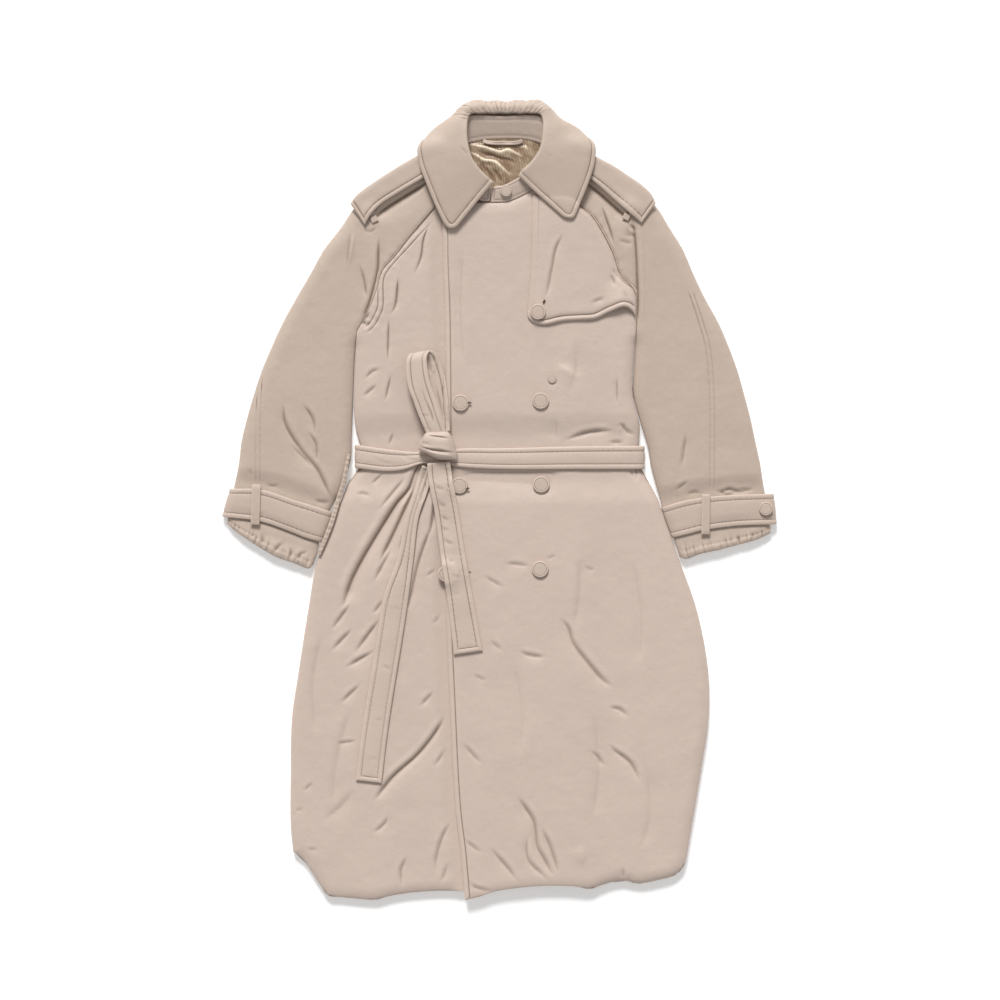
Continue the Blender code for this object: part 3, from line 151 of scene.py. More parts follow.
# Outlines of the sleeves, each row an x and a y: from the cuff up, and across the cuff from the inner edge
RIGHT_SLEEVE = {
    "inner": mm(
        2, -288.5, -56, -280.5, -30, -268.5, -8, -254.5, 16, -244, 45, -238.5, 68, -237, 113, -235, 161,
        -233, 217, -230, 270,
    ),
    "outer": mm(
        2, -431, -4, -424, 30, -418, 60, -414, 94, -405, 132, -394, 170, -381, 209, -365, 247, -347, 286,
        -326, 324, -304, 362, -282, 401, -253, 439, -236, 465, -216, 488, -190, 507, -162, 526, -133, 543,
        -108, 555, -87, 563,
    ),
    "neck": mm(2, -86, 490.5, -83, 515, -83, 540, -87, 563),
    "cuff": mm(2, -288.5, -56, -330, -35, -382, -13, -431, -4),
}
LEFT_SLEEVE = {
    "inner": mm(
        2, 266.5, -32, 259.8, -12, 256.2, 4, 250, 24, 241.5, 55, 237, 84, 226, 121, 213.5, 169, 214.5, 217,
        219, 273,
    ),
    "outer": mm(
        2, 428, -12, 420, 36, 416, 62, 409, 94, 401, 132, 391, 170, 380, 209, 366, 247, 349, 286, 328, 324,
        310, 362, 293, 401, 270, 439, 254, 465, 240, 482, 225, 496, 203, 512, 180, 527, 152, 542, 118, 556,
        96, 564,
    ),
    "neck": mm(2, 95, 516.5, 93, 530, 93, 550, 96, 564),
    "cuff": mm(2, 266.5, -32, 320, -24, 375, -18, 428, -12),
}

# The gathered cuffs below the straps: the edge that the strap hides, the gathered end, and the two sides
RIGHT_CUFF = {
    "top": mm(2, -289, -61, -330, -41, -382, -19, -431.5, -10),
    "end": mm(2, -299, -102, -306, -109, -328, -101, -357, -91, -382, -77, -408, -60, -429, -45, -437, -36),
    "inner": mm(2, -299, -102, -293, -84, -289, -61),
    "outer": mm(2, -437, -36, -435, -20, -431.5, -10),
}
LEFT_CUFF = {
    "top": mm(2, 269, -37, 320, -30, 375, -24, 428.5, -18),
    "end": mm(2, 287.5, -90, 297, -93.5, 323, -85, 352, -79, 366, -75, 389, -69, 413, -62, 434, -52),
    "inner": mm(2, 287.5, -90, 280.3, -66, 269, -37),
    "outer": mm(2, 434, -52, 432, -35, 428.5, -18),
}

# Cuff straps: their edges and their middle line, from the inner side of the sleeve to the outer one
RIGHT_STRAP = {
    "upper": mm(2, -268, -18.5, -300, -8, -330, 1, -382.4, 17.6, -431, 19),
    "lower": mm(2, -285, -67, -310, -60, -338.4, -48.8, -382.4, -33.9, -444, -26),
    "middle": mm(2, -281, -42, -334, -24, -382.4, -8, -437, -3),
}
LEFT_STRAP = {
    "upper": mm(2, 259.2, -11, 288, -2, 321.6, 4.6, 371.2, 8.8, 437, 11),
    "lower": mm(2, 276.8, -59.5, 302, -53.5, 322, -48.5, 376, -40.8, 442, -38),
    "middle": mm(2, 272, -34, 321, -22, 374, -16, 440, -13),
}

# How a strap turns under at its end: how far in along the turn, and how high, both as shares
STRAP_TURN = ((1.0, 1.0), (0.5, 0.94), (0.08, 0.74), (0.0, 0.42), (0.08, 0.12), (0.42, 0.0), (1.0, 0.0))

# The belt round the waist, by its upper and lower edge
BELT = {
    "upper": mm(2, -231, 89.5, -182.4, 82.4, -136, 77.6, -98, 78, -64, 83, 0, 83.5, 120, 86.5, 230, 87.5),
    "lower": mm(
        2, -231, 52, -182.4, 46.6, -153.6, 49.3, -123.2, 59, -90, 58, -64, 53.5, 0, 50, 120, 50, 230, 50,
    ),
}

# Strips that lie on the coat, each row the middle x and y, the half-width and the lift above what is below
LONG_TAIL = mm(
    4, -114.5, 52, 10.2, 0, -120.4, 36, 10.8, 0, -128, 12, 10.6, 0, -140.4, -26.4, 10.4, 0, -151.5, -95.2,
    13, 0, -166.3, -157, 19.6, 0, -174.9, -208.8, 20.3, 0, -185.2, -274.4, 20, 0, -194.6, -331.2, 20.2, 0,
    -202.7, -388, 20.5, 0, -209.8, -449.5, 20.6, 0,
)
SHORT_TAIL = mm(
    4, -98, 61, 18.5, 1.5, -95.3, 36, 19.2, 0.8, -85.3, -18.4, 19, 0, -75, -88.8, 19.9, 0, -66.4, -140, 20.2,
    0, -55.8, -208.8, 21.9, 0, -50.8, -243.2, 23.1, 0,
)

# The half bow: the middle of the band from the knot, over the top and back down behind, with its half-width
BOW = mm(
    4, -101, 107.5, 34.5, 15.5, -110, 130, 36, 16.4, -119, 156, 36.2, 17.6, -129, 185, 35.8, 17.8, -133, 212,
    35, 17.2, -132.5, 228, 33.5, 16.5, -127, 236, 29, 17.2, -118, 229, 25, 18, -112, 215, 22.8, 18, -104,
    185, 22.2, 17.8, -99, 150, 22.2, 17.2, -96, 107.5, 26.2, 16.5,
)

# The knot: sections along its length, each a middle point, a half-width and a half-thickness
KNOT = mm(
    5, -130, 86.5, 29, 5, 4.5, -124, 89, 31, 11.5, 8, -118, 91.5, 32.5, 16.4, 9.8, -98, 87.8, 33.5, 21.8,
    10.5, -83.2, 87.2, 33, 22.4, 10, -76, 82.6, 32, 17.8, 8, -69, 71.5, 30.5, 7, 4.5,
)

# The storm flap on the left chest
FLAP = {
    "left": mm(2, 44, 305, 46, 330, 49, 362, 51, 410, 51.5, 450, 52.5, 488),
    "hem": mm(
        2, 44, 305, 44.5, 293, 53, 284, 70, 280, 100, 286, 128, 288, 152, 290, 178, 302, 200, 309, 211, 302,
        216.5, 294,
    ),
    "right": mm(
        2, 216.5, 294, 217, 310, 215, 328, 209, 339, 199, 348, 189.5, 359, 184.5, 374, 178.5, 393, 168.5,
        414, 157.5, 434, 144.5, 453, 128, 467, 117, 479,
    ),
    "top": mm(2, 52.5, 488, 74, 485, 96, 486, 117, 479),
}

# Shoulder straps: their upper and their lower edge, from the collar to the tip
RIGHT_EPAULETTE = {
    "upper": mm(
        2, -120, 558, -133.3, 550.6, -161.6, 534.2, -190.4, 516, -217, 497.6, -231.2, 485.6, -239, 474,
    ),
    "lower": mm(2, -110, 522.5, -123.2, 514.4, -158.4, 493.6, -190.4, 473.1, -206, 457, -216, 440),
}
LEFT_EPAULETTE = {
    "upper": mm(2, 140, 557, 153.6, 549.6, 182.4, 534.2, 204.8, 519.2, 227.2, 503.7, 241.6, 489.4, 249, 475),
    "lower": mm(2, 132, 524, 145.6, 512.8, 163.8, 497.6, 184, 479.2, 206, 460, 226.2, 443),
}

# The lining that the neck shows, by its four sides
LINING_OUTLINE = {
    "bottom": mm(2, -56, 489, -14, 483, 30, 492, 56, 506),
    "top": mm(2, -57, 575, -20, 588, 4, 592, 35, 588, 64, 577),
    "left": mm(2, -56, 489, -59, 520, -57, 575),
    "right": mm(2, 56, 506, 64, 530, 64, 577),
}

# The stand, section by section round the neck from its lapped end: its seam edge and its top edge
STAND = mm(
    6, -15, 476.7, 21.2, -12, 501, 25, -2, 476.9, 21.2, -1, 502, 25.5, 11, 477.8, 21.2, 8, 504.5, 26, 30,
    484.8, 21.2, 23, 512, 27, 50, 496.2, 21.2, 40, 522, 29, 69, 510.5, 21.5, 56, 536, 30.5, 78, 537, 21, 66,
    560, 31, 72, 566, 15, 74.5, 595, 28.5, 48, 576.5, 11, 68, 612, 23.5, 4, 579, 11, 4, 614.5, 23, -40,
    574.5, 11, -57, 612, 23.5, -64, 565, 15, -62, 595, 28.5, -70, 537, 21, -56, 560, 31, -64, 512, 22, -50,
    532, 30.5, -48, 490, 21.5, -39, 513, 29, -30, 479.5, 20.5, -26, 504, 25, -16, 478.5, 19, -13.5, 501,
    22.5,
)

# The collar, section by section from the right leaf's front edge round the back to the left leaf's:
# four points across it, from the roll at the neck to the edge of the leaf
COLLAR = mm(
    12, -10, 508, 34.5, -31, 483, 34.5, -53, 456, 33, -75, 429, 31, -20, 517, 37, -43, 492, 35, -64, 464, 33,
    -86, 438, 31, -34, 531, 38.5, -58, 508, 36, -81, 486, 34, -101, 466, 32, -45, 548, 39, -68, 531, 37, -93,
    514, 35, -116, 502, 32.5, -50, 566, 38.5, -75, 556, 37, -102, 545, 35, -129, 538, 32, -52, 581, 37, -80,
    576, 35, -110, 569, 33, -131, 564, 30, -52, 595, 35, -76, 596, 32.5, -106, 589, 20, -108, 580, 6.5, -51,
    608, 31.5, -64, 613, 30, -79, 611, 16, -78, 596, 5, -47, 616, 29, -49, 630, 28, -50, 635, 13, -49, 606,
    4, -22, 618, 27.5, -22, 631, 27, -22, 637, 13, -22, 604, 3.5, 4, 618, 27.5, 4, 630, 27, 4, 635.5, 13, 4,
    603, 3.5, 33, 618, 27.5, 33, 631, 27, 33, 637, 13, 33, 604, 3.5, 64, 616, 29, 66, 630, 28, 68, 635, 13,
    68, 606, 4, 68, 606, 31.5, 81, 611, 30, 96, 609, 16, 94, 596, 5, 68, 592, 35, 94, 592, 32.5, 123, 592,
    20, 122, 583, 6.5, 67, 579, 37, 95, 576, 35, 126, 572, 33, 151, 568, 30, 64, 564, 38.5, 93, 556, 37, 123,
    547, 35, 151, 540, 32, 56, 549, 39, 84, 534, 37, 113, 517, 35, 141, 506, 32.5, 44, 535, 38.5, 71, 515,
    36, 99, 492, 34, 127, 472, 32, 34, 526, 37, 60, 502, 35, 89, 476, 33, 118, 452, 31, 29, 518, 34.5, 55,
    493, 34.5, 82, 469, 33, 108, 446, 31,
)

# Buttons on the fronts, each a name, a middle x and y and a radius
BUTTONS = (
    ("button_upper_right", -0.063, 0.156, 0.0133),
    ("button_upper_left", 0.0648, 0.1592, 0.0133),
    ("button_middle_right", -0.065, 0.024, 0.0133),
    ("button_middle_left", 0.0656, 0.0256, 0.0133),
    ("button_lower_right", -0.086, -0.117, 0.0133),
    ("button_lower_left", 0.064, -0.1096, 0.0133),
    ("button_inner_anchor", 0.0832, 0.1944, 0.007),
)

# Narrow strips, with rows like the tails'
CUFF_KEEPERS = {
    "right": mm(4, -389.5, 25.5, 7.2, 0, -390, 8, 7.2, 0, -390.8, -18, 7.2, 0, -391.7, -39, 7.2, 0),
    "left": mm(4, 329.2, 10, 6.8, 0, 329, -10, 6.8, 0, 328.6, -35, 6.8, 0, 328.4, -54.5, 6.8, 0),
}
SHOULDER_KEEPERS = {
    "right": mm(4, -208, 466, 5.5, 0, -204, 456, 5.5, 0, -199, 445, 5.5, 0),
    "left": mm(4, 208, 470, 5.5, 0, 205, 460, 5.5, 0, 200, 449, 5.5, 0),
}
SIDE_SEAM = mm(
    4, -241.5, 74, 2.4, 0, -246.5, 48, 3, 0, -250, 28, 3.4, 0, -257.2, 6, 3.6, 0, -262.5, -13, 3.8, 0,
    -269.8, -37, 3.8, 0, -278.6, -60, 3.6, 0, -289.5, -86, 3, 0,
)
HANGER = mm(4, -27, 575.5, 3, 0, -18, 572.8, 3, 0, 4, 572.2, 3, 0, 27, 572.6, 3, 0, 36, 575.5, 3, 0)

# Other buttons, each with its height too, and a button's section as shares of its radius and height
LOOSE_BUTTONS = (
    ("button_flap", 0.0605, 0.301, 0.0125, 0.0048),
    ("button_stand", 0.0096, 0.4945, 0.0092, 0.0036),
    ("button_cuff_left", 0.425, -0.013, 0.011, 0.0048),
)
BUTTON_PROFILE = (
    (0.8, 0.0), (0.97, 0.12), (1.0, 0.45), (0.985, 0.78), (0.93, 0.96), (0.84, 0.985), (0.78, 0.945),
    (0.7, 0.965), (0.4, 1.0), (0.12, 1.0),
)

# Buttonholes, each a middle x and y and a direction in degrees
BUTTONHOLES = ((-0.0487, 0.156, 0), (-0.052, 0.0189, 8), (-0.0492, -0.1146, 0), (0.0704, 0.3176, 60))

# Base colours of the finishes
SHELL_COLOUR = (0.579, 0.465, 0.396)
SLEEVE_COLOUR = (0.514, 0.411, 0.338)
BELT_COLOUR = (0.566, 0.455, 0.383)
TRIM_COLOUR = (0.53, 0.424, 0.352)
BUTTON_COLOUR = (0.545, 0.44, 0.368)
THREAD_COLOUR = (0.07, 0.045, 0.032)


def ease(t: Array) -> Array:
    """A smooth step from 0 to 1."""
    t = np.clip(t, 0.0, 1.0)
    return t * t * (3.0 - 2.0 * t)


def bell(t: Array) -> Array:
    """1 at 0, and falling to nothing about two units away."""
    return np.exp(-(t * t))


def round_off(distance: Array, radius: float) -> Array:
    """The share of full height at a distance from an edge that is rounded over a radius."""
    near = 1.0 - np.clip(distance / radius, 0.0, 1.0)
    return np.sqrt(1.0 - near * near)


def smooth(points: Points, steps: int = 8) -> Array:
    """A smooth curve through points.

    Args:
        points: The points that it passes through, in order.
        steps: How many steps it takes between two of them.

    Returns:
        The points of the curve.
    """
    p = np.asarray(points, float)
    if len(p) < 3:
        return p
    t = np.concatenate([[0.0], np.cumsum(np.sqrt(np.linalg.norm(np.diff(p, axis=0), axis=1)))])
    slope = np.gradient(p, t, axis=0)
    out = []
    for i in range(len(p) - 1):
        h = t[i + 1] - t[i]
        s = np.linspace(0.0, 1.0, steps, endpoint=False)[:, None]
        out.append(
            (2 * s**3 - 3 * s**2 + 1) * p[i]
            + (s**3 - 2 * s**2 + s) * h * slope[i]
            + (3 * s**2 - 2 * s**3) * p[i + 1]
            + (s**3 - s**2) * h * slope[i + 1]
        )
    return np.vstack(out + [p[-1][None]])


def along(curve: Array, fractions: Array) -> Array:
    """The points of a curve at fractions of its length."""
    steps = np.linalg.norm(np.diff(curve, axis=0), axis=1)
    length = np.concatenate([[0.0], np.cumsum(steps)])
    at = np.asarray(fractions) * length[-1]
    return np.stack([np.interp(at, length, curve[:, k]) for k in range(curve.shape[1])], axis=-1)


def even(count: int) -> Array:
    """So many even fractions from 0 to 1."""
    return np.linspace(0.0, 1.0, count)


def curve_at(points: Points, fractions: Array) -> Array:
    """The points at fractions of the smooth curve through points."""
    return along(smooth(points), fractions)


def line_length(line: Array) -> float:
    """The length of a line."""
    return float(np.linalg.norm(np.diff(line, axis=0), axis=1).sum())


def to_the_left(line: Array) -> Array:
    """The direction to the left of a plan line, at each of its points."""
    heading = np.gradient(line, axis=0)
    heading /= np.linalg.norm(heading, axis=1, keepdims=True)
    return np.stack([-heading[:, 1], heading[:, 0]], axis=-1)


def length_shares(line: Array) -> Array:
    """The share of a line's length at each of its points."""
    length = np.concatenate([[0.0], np.cumsum(np.linalg.norm(np.diff(line, axis=0), axis=1))])
    return length / length[-1]


def spread(length: float, step: float = STEP, low: bool = True, high: bool = True) -> Array:
    """Fractions of a length, close together where an edge is rounded and stitched.

    Args:
        length: The length in metres.
        step: The spacing away from the edges.
        low: Whether the first end is such an edge.
        high: Whether the last end is one.

    Returns:
        The fractions, from 0 to 1.
    """
    first = np.array(RIM if low else RIM[:1]) / length
    last = 1.0 - np.array(RIM if high else RIM[:1])[::-1] / length
    count = max(int((last[0] - first[-1]) * length / step), 1)
    return np.concatenate([first, np.linspace(first[-1], last[0], count + 1)[1:-1], last])


def respread(fractions: Array, count: int) -> Array:
    """The fractions, spread again in another number."""
    return np.interp(even(count), even(len(fractions)), fractions)


def whole(fractions: Array) -> Array:
    """The fractions, spread again where a whole number of strides needs a few more."""
    return respread(fractions, STRIDE * math.ceil((len(fractions) - 1) / STRIDE) + 1)


def track(plan: Array, line: Array) -> tuple[Array, Array]:
    """Where plan points lie beside a line.

    Args:
        plan: The points, in any shape of rows.
        line: The points of the line.

    Returns:
        The distance of each from the line, positive to its left, and how far along the line it is.
    """
    flat = plan.reshape(-1, 2)
    best = np.full(len(flat), np.inf)
    side = np.ones(len(flat))
    at = np.zeros(len(flat))
    start = 0.0
    for a, b in zip(line[:-1], line[1:]):
        d = b - a
        length = max(float(np.hypot(*d)), 1e-9)
        gap = flat - a
        t = np.clip((gap @ d) / length**2, 0.0, 1.0)
        gap = gap - t[:, None] * d
        away = np.hypot(gap[:, 0], gap[:, 1])
        near = away < best
        best = np.where(near, away, best)
        side = np.where(near, np.where(d[0] * gap[:, 1] >= d[1] * gap[:, 0], 1.0, -1.0), side)
        at = np.where(near, start + t * length, at)
        start += length
    shape = plan.shape[:-1]
    return (best * side).reshape(shape), at.reshape(shape)


def border(grid: Array, every: int = 1) -> Array:
    """The outline of a grid of points, once round, with every so many of its points."""
    line = np.concatenate([grid[0, :-1], grid[:-1, -1], grid[-1, :0:-1], grid[:0:-1, 0]])
    line = line[::every]
    return np.concatenate([line, line[:1]])


def edge_distance(plan: Array, outline: Array) -> Array:
    """How far each plan point lies from an outline."""
    return np.abs(track(plan, outline)[0])


def lift(grid: Array, height: Array) -> Array:
    """Plan points with heights, as points in space."""
    return np.concatenate([grid, np.broadcast_to(height, grid.shape[:2])[..., None]], axis=-1)


def patch(bottom: Points, top: Points, first: Array, last: Array, across: Array) -> Array:
    """Plan points between four curves.

    Args:
        bottom: The points of the curve of the first row.
        top: The points of the curve of the last row.
        first: The side of the first column, as many points as there are rows.
        last: The side of the last column.
        across: The fractions at which the columns stand.

    Returns:
        The plan points [row][column].
    """
    low, high = curve_at(bottom, across), curve_at(top, across)
    u, v = across[None, :, None], ((length_shares(first) + length_shares(last)) / 2)[:, None, None]
    corners = (1 - v) * ((1 - u) * first[0] + u * last[0]) + v * ((1 - u) * first[-1] + u * last[-1])
    return (1 - v) * low[None] + v * high[None] + (1 - u) * first[:, None] + u * last[:, None] - corners


def blur(values: Array, reach: int, axis: int, ring: bool = False) -> Array:
    """The mean of values with those up to reach places away along an axis."""
    pad = [(0, 0)] * values.ndim
    pad[axis] = (reach, reach)
    wide = np.pad(values, pad, mode="wrap" if ring else "edge")
    total = np.cumsum(np.insert(wide, 0, 0.0, axis=axis), axis=axis)
    size = values.shape[axis]
    high = np.take(total, range(2 * reach + 1, 2 * reach + 1 + size), axis=axis)
    return (high - np.take(total, range(size), axis=axis)) / (2 * reach + 1)


def soften(values: Array, down: int, over: int) -> Array:
    """The values of a grid, blurred down its rows and over its columns."""
    return blur(blur(values, down, 0), over, 1)


class Fill:
    """The soft unevenness of padding: smooth noise over the plan, the same on every run."""

    def __init__(self, seed: int) -> None:
        """Draws the lattice of the noise."""
        self.lattice = np.random.default_rng(seed).uniform(-1.0, 1.0, (97, 89))

    def at(self, plan: Array, size: float, stretch: float = 1.0) -> Array:
        """The noise at plan points.

        Args:
            plan: The plan points.
            size: The spacing of its bumps in metres.
            stretch: How much longer they are along Y.

        Returns:
            Values from about -1 to 1.
        """
        i, j = plan[..., 0] / size + 31.7, plan[..., 1] / (size * stretch) + 47.3
        a, b = np.floor(i).astype(int), np.floor(j).astype(int)
        u, v = ease(i - a), ease(j - b)
        m, n = self.lattice.shape
        low, high = (
            self.lattice[a % m, c % n] * (1 - u) + self.lattice[(a + 1) % m, c % n] * u for c in (b, b + 1)
        )
        return low * (1 - v) + high * v

    def loft(self, plan: Array, amount: float = 1.0) -> Array:
        """The height in metres that the padding adds at plan points, in bumps of three sizes."""
        broad = 0.0007 * self.at(plan, 0.07, 1.3) + 0.0004 * self.at(plan, 0.027, 1.2)
        return amount * (broad + 0.00012 * self.at(plan, 0.01))


def beside(plan: Array, line: Array, reach: float) -> tuple[Array, Array, Array, float] | None:
    """Which plan points lie near a line, how far off and how far along it they are, and its length."""
    inside = np.all((plan > line.min(axis=0) - reach) & (plan < line.max(axis=0) + reach), axis=-1)
    if not inside.any():
        return None
    return inside, *track(plan[inside], line), line_length(line)


def creased(plan: Array, rows: Points, scale: float = 1.0) -> Array:
    """The height that creases add at plan points: steep above, running out slowly below, pointed at the ends.

    Args:
        plan: The plan points.
        rows: The depth of each crease, negative for a ridge, and the x and y of its points, all in millimetres.
        scale: How wide they are, against the usual.

    Returns:
        The height in metres at each point.
    """
    total = np.zeros(plan.shape[:-1])
    for depth, *places in rows:
        line = smooth(np.array(places).reshape(-1, 2) / 1000.0, 5)
        width = scale * (0.0015 + 0.0003 * abs(depth))
        near = beside(plan, line, 14.0 * width)
        if near is None:
            continue
        inside, away, at, length = near
        end = ease(np.minimum(at, length - at) / min(0.42 * length, 0.036)) * min(1.0, length / 0.055) ** 0.6
        off = away / (width * (0.6 + 0.4 * end)) * (1.0 if line[-1, 0] >= line[0, 0] else -1.0)
        core = bell(off / np.where(off > 0.0, 0.8, 1.4 + 1.2 * at / length)) + 0.34 * bell((off + 2.4) / 4.2)
        total[inside] += depth / 1000.0 * (0.3 * bell((off - 2.8) / 1.7) - core) * end
    return total


def welted(plan: Array, rows: Points) -> Array:
    """The height that sewn-down seams add at plan points: each a low ridge between two stitched grooves.

    Args:
        plan: The plan points.
        rows: Each one's half-width, groove depth, rise and pucker, and its points' x and y, in millimetres.

    Returns:
        The height in metres at each point.
    """
    total = np.zeros(plan.shape[:-1])
    for half, depth, rise, pucker, *places in rows:
        line = smooth(np.array(places).reshape(-1, 2) / 1000.0, 5)
        near = beside(plan, line, 0.024)
        if near is None:
            continue
        inside, away, at, length = near
        gap = np.abs(away) - half / 1000.0
        raised = rise * (1.0 - ease((gap + 0.0012) / 0.0018)) - depth * bell(gap / 0.0018)
        wave = np.sin(at / 0.0105 * math.tau / 1.7 + 1.3 * np.sin(at / 0.031)) + 0.6 * np.sin(at / 0.0047 * 1.9)
        ripple = pucker * wave * bell(np.abs(away) / (half / 1000.0 + 0.007))
        total[inside] += (raised + ripple) / 1000.0 * ease(np.minimum(at, length - at) / 0.012)
    return total


# Creases, each a depth and the x and y of its points, all in millimetres; a ridge's depth is negative.
# Seams have the rows that welted() describes
FRONT_CREASES = (
    (6, -108, 84, -130, 54, -146, 18, -165, -4, -182, -30, -235, -122, -253, -174),
    (2.4, -171, -71, -205, -134), (2.2, -237, -162, -272, -209), (2, -186, -157, -205, -183),
    (2.6, -190, -186, -235, -246), (2.2, -234, -202, -272, -242), (2.4, -199, -239, -250, -268),
    (2, -221, -291, -258, -326), (1.8, -227, -384, -264, -388), (1.8, -186, 44, -208, 25),
    (1.8, -232, 10, -219, 12, -205, 7), (2.6, -109, -36, -132, -103, -149, -180),
    (2, -90, -177, -109, -199), (1.8, -120, -122, -101, -108), (2, -104, -303, -131, -331),
    (3.6, -83, -337, -106, -374, -132, -406, -172, -442, -205, -484), (1.8, -81, -390, -108, -428),
    (2.2, -178, -502, -186, -517, -204, -532), (1.6, -298, -449, -316, -465), (1.4, -328, -498, -316, -490),
    (1.4, -312, -558, -290, -556), (2.2, -146, -564, -159, -591, -157, -625),
    (2.2, -71, -506, -90, -532, -103, -573, -104, -602), (1.8, -83, -577, -96, -614),
    (1.8, -62, -385, -26, -423), (1.8, -27, -119, 8, -140), (1.8, 5, -100, 34, -102, 50, -105),
    (1.6, 73, -94, 90, -86), (1.4, 133, -106, 154, -111), (1.8, -17, -222, 6, -241),
    (2.2, 27, -238, 45, -246, 76, -250), (1.8, -45, -277, -20, -288),
    (3.4, 93, -185, 109, -202, 118, -228, 142, -260, 165, -286, 184, -300),
    (2.2, 170, -329, 193, -334, 209, -348), (2.8, 170, -384, 184, -399, 210, -420, 227, -454),
    (2, 140, -397, 156, -408, 171, -428), (3.2, 25, -468, 42, -492, 55, -514, 61, -553, 71, -572, 90, -606),
    (2.4, 63, -516, 79, -548, 90, -580, 95, -606), (2.2, 50, -529, 43, -548, 47, -575, 69, -598, 82, -612),
    (2.2, -19, -550, 0, -572, 18, -593, 31, -614), (1.8, -59, -540, -27, -564),
    (1.8, -53, -604, -40, -617, -6, -625), (2.6, 198, -585, 198, -607),
    (1.8, -109, 449, -122, 420, -127, 388, -139, 359), (2.6, -163, 359, -168, 311, -174, 301, -178, 306),
    (1.8, -178, 295, -179, 266, -180, 218), (1.8, -187, 211, -204, 207, -218, 193),
    (1.8, -195, 187, -222, 165), (1.6, -174, 204, -185, 156), (1.6, -170, 111, -180, 86),
    (2, 186, 362, 176, 348), (3, 99, 95, 126, 105, 145, 110, 176, 112, 186, 110),
    (2.6, 186, 116, 195, 121, 203, 112, 219, 105), (2.4, 171, 94, 200, 94), (1.4, 187, 202, 188, 150),
    (3.2, -207, 305, -215, 292, -222, 278), (2.6, -202, 287, -212, 283, -226, 289),
    (4.4, -106, 82, -123, 44, -146, 0, -172, -56, -196, -104),
    (3.6, -98, 76, -112, 40, -126, 4, -146, -44, -164, -84), (3.4, -96, 64, -100, 28, -106, -16, -114, -62),
    (2.4, -84, 8, -92, -40, -96, -80), (3, -86, 60, -100, 10, -106, -40),
    (1.8, -150, 40, -176, 8, -196, -16), (1.6, 214, 60, 219, 40, 216, 26), (2, 205, 52, 212, 44, 214, 34),
)
FRONT_SWELLS = (
    (1.6, -230, -460, -256, -490, -285, -513), (-1.6, 130, -548, 134, -585), (1.2, 90, 137, 90, 92),
    (-1.6, 86, 220, 134, 193), (3, -72, 42, 0, 41, 60, 41, 101, 42), (1.4, 128, -84, 126, -150, 118, -210),
    (1.2, 214, -96, 226, -190, 222, -270), (1.2, 20, -250, 36, -340, 30, -420),
    (1.3, 150, -340, 158, -430, 148, -510), (1.2, -286, -210, -300, -300, -294, -380),
    (1.2, -60, 400, -64, 300, -58, 210), (1.2, 118, 262, 122, 216, 112, 170),
    (1.2, -240, -330, -262, -420, -270, -500), (1.2, 232, -420, 240, -500, 226, -560),
)
SLEEVE_CREASES = (
    (6, -104.4, 516.8, -119.4, 506.8, -154.4, 485.8, -186.4, 464.8, -201.4, 449.8, -206.4, 443.8),
    (6, 128.4, 517.8, 142.4, 504.8, 161.4, 489.8, 180.4, 472.8, 200.4, 454.8, 214.4, 442.8),
    (1.8, 204, 443, 212, 438, 220, 440), (1.6, 196, 428, 208, 424, 222, 430),
    (1.6, -196, 438, -206, 431, -222, 434), (2.6, -208, 302, -214, 290, -222, 276),
    (2.2, 340, 19, 352, 14, 366, 18, 382, 15, 404, 17), (1.6, 296, 9, 310, 14, 324, 12),
    (1.6, -374, 29, -366, 24, -352, 26), (1.9, -300, 2, -284, -2, -270, -1),
    (2.2, 162, 478, 168, 457, 177, 430, 185, 401), (1.8, 186, 417, 216, 411),
    (-1.8, -234, 438, -239, 398, -243, 371), (1.8, -227, 382, -218, 357, -211, 316),
    (3, -346, 161, -343, 124, -317, 80, -293, 52, -282, 32, -266, -4), (1.8, -337, 93, -296, 50),
    (2.2, -317, 158, -298, 128, -296, 100), (2.2, -309, 113, -294, 91, -293, 54), (1.4, -401, 52, -395, 38),
    (1.8, 298, 113, 294, 87, 288, 47), (2, 303, 33, 279, 16), (1.8, 349, 22, 360, 10, 380, 14),
    (1.6, 378, 19, 408, 18),
    (3.2, -194, 424, -195, 392, -196, 367, -203, 336, -209, 316, -218, 292, -222, 276),
    (3.4, 213, 450, 217, 410, 219, 377, 220.5, 329, 219, 276), (1.8, 206, 446, 214, 436, 222, 430),
    (1.6, 200, 436, 210, 426, 221, 424),
)
CUFF_CREASES = (
    (2.2, -386, -72, -381, -62, -384, -52), (2.8, -363, -86, -356, -74, -345, -66),
    (2.6, -340, -95, -335, -83, -338, -74), (2.2, -329, -98, -320, -86, -306, -80), (1.8, -400, -60, -393, -50),
    (1.8, -310, -103, -305, -92, -303, -82), (2.2, 376, -76, 380, -64, 378, -54), (1.8, 352, -82, 354, -68),
    (2.4, 399, -70, 404, -58, 401, -48), (2.0, 420, -62, 422, -52, 418, -46), (1.6, 388, -74, 391, -64),
)
FLAP_CREASES = (
    (2, 104, 430, 90, 406, 82, 369, 74, 332, 68, 316), (2, 144, 314, 155, 320, 170, 324),
    (2.4, 174, 364, 182, 352, 186, 341), (2.2, 180, 376, 184, 362, 194, 350),
    (1.4, 196, 338, 204, 322, 206, 312),
)
SEAM_WELTS = (
    (
        4, 1, 0.5, 0.3, -90.1, 476.4, -98.1, 465.4, -141.1, 417.4, -186.1, 365.6, -191.1, 350.6, -191.1,
        326.6, -192.1, 307.6, -205.1, 281.6, -219.1, 269.6,
    ),
    (
        3.5, 0.8, 0.3, 0.3, 130, 466, 146, 454, 160, 434, 174, 406, 185, 378, 188, 364, 200, 350, 214, 339,
        219, 332,
    ),
)
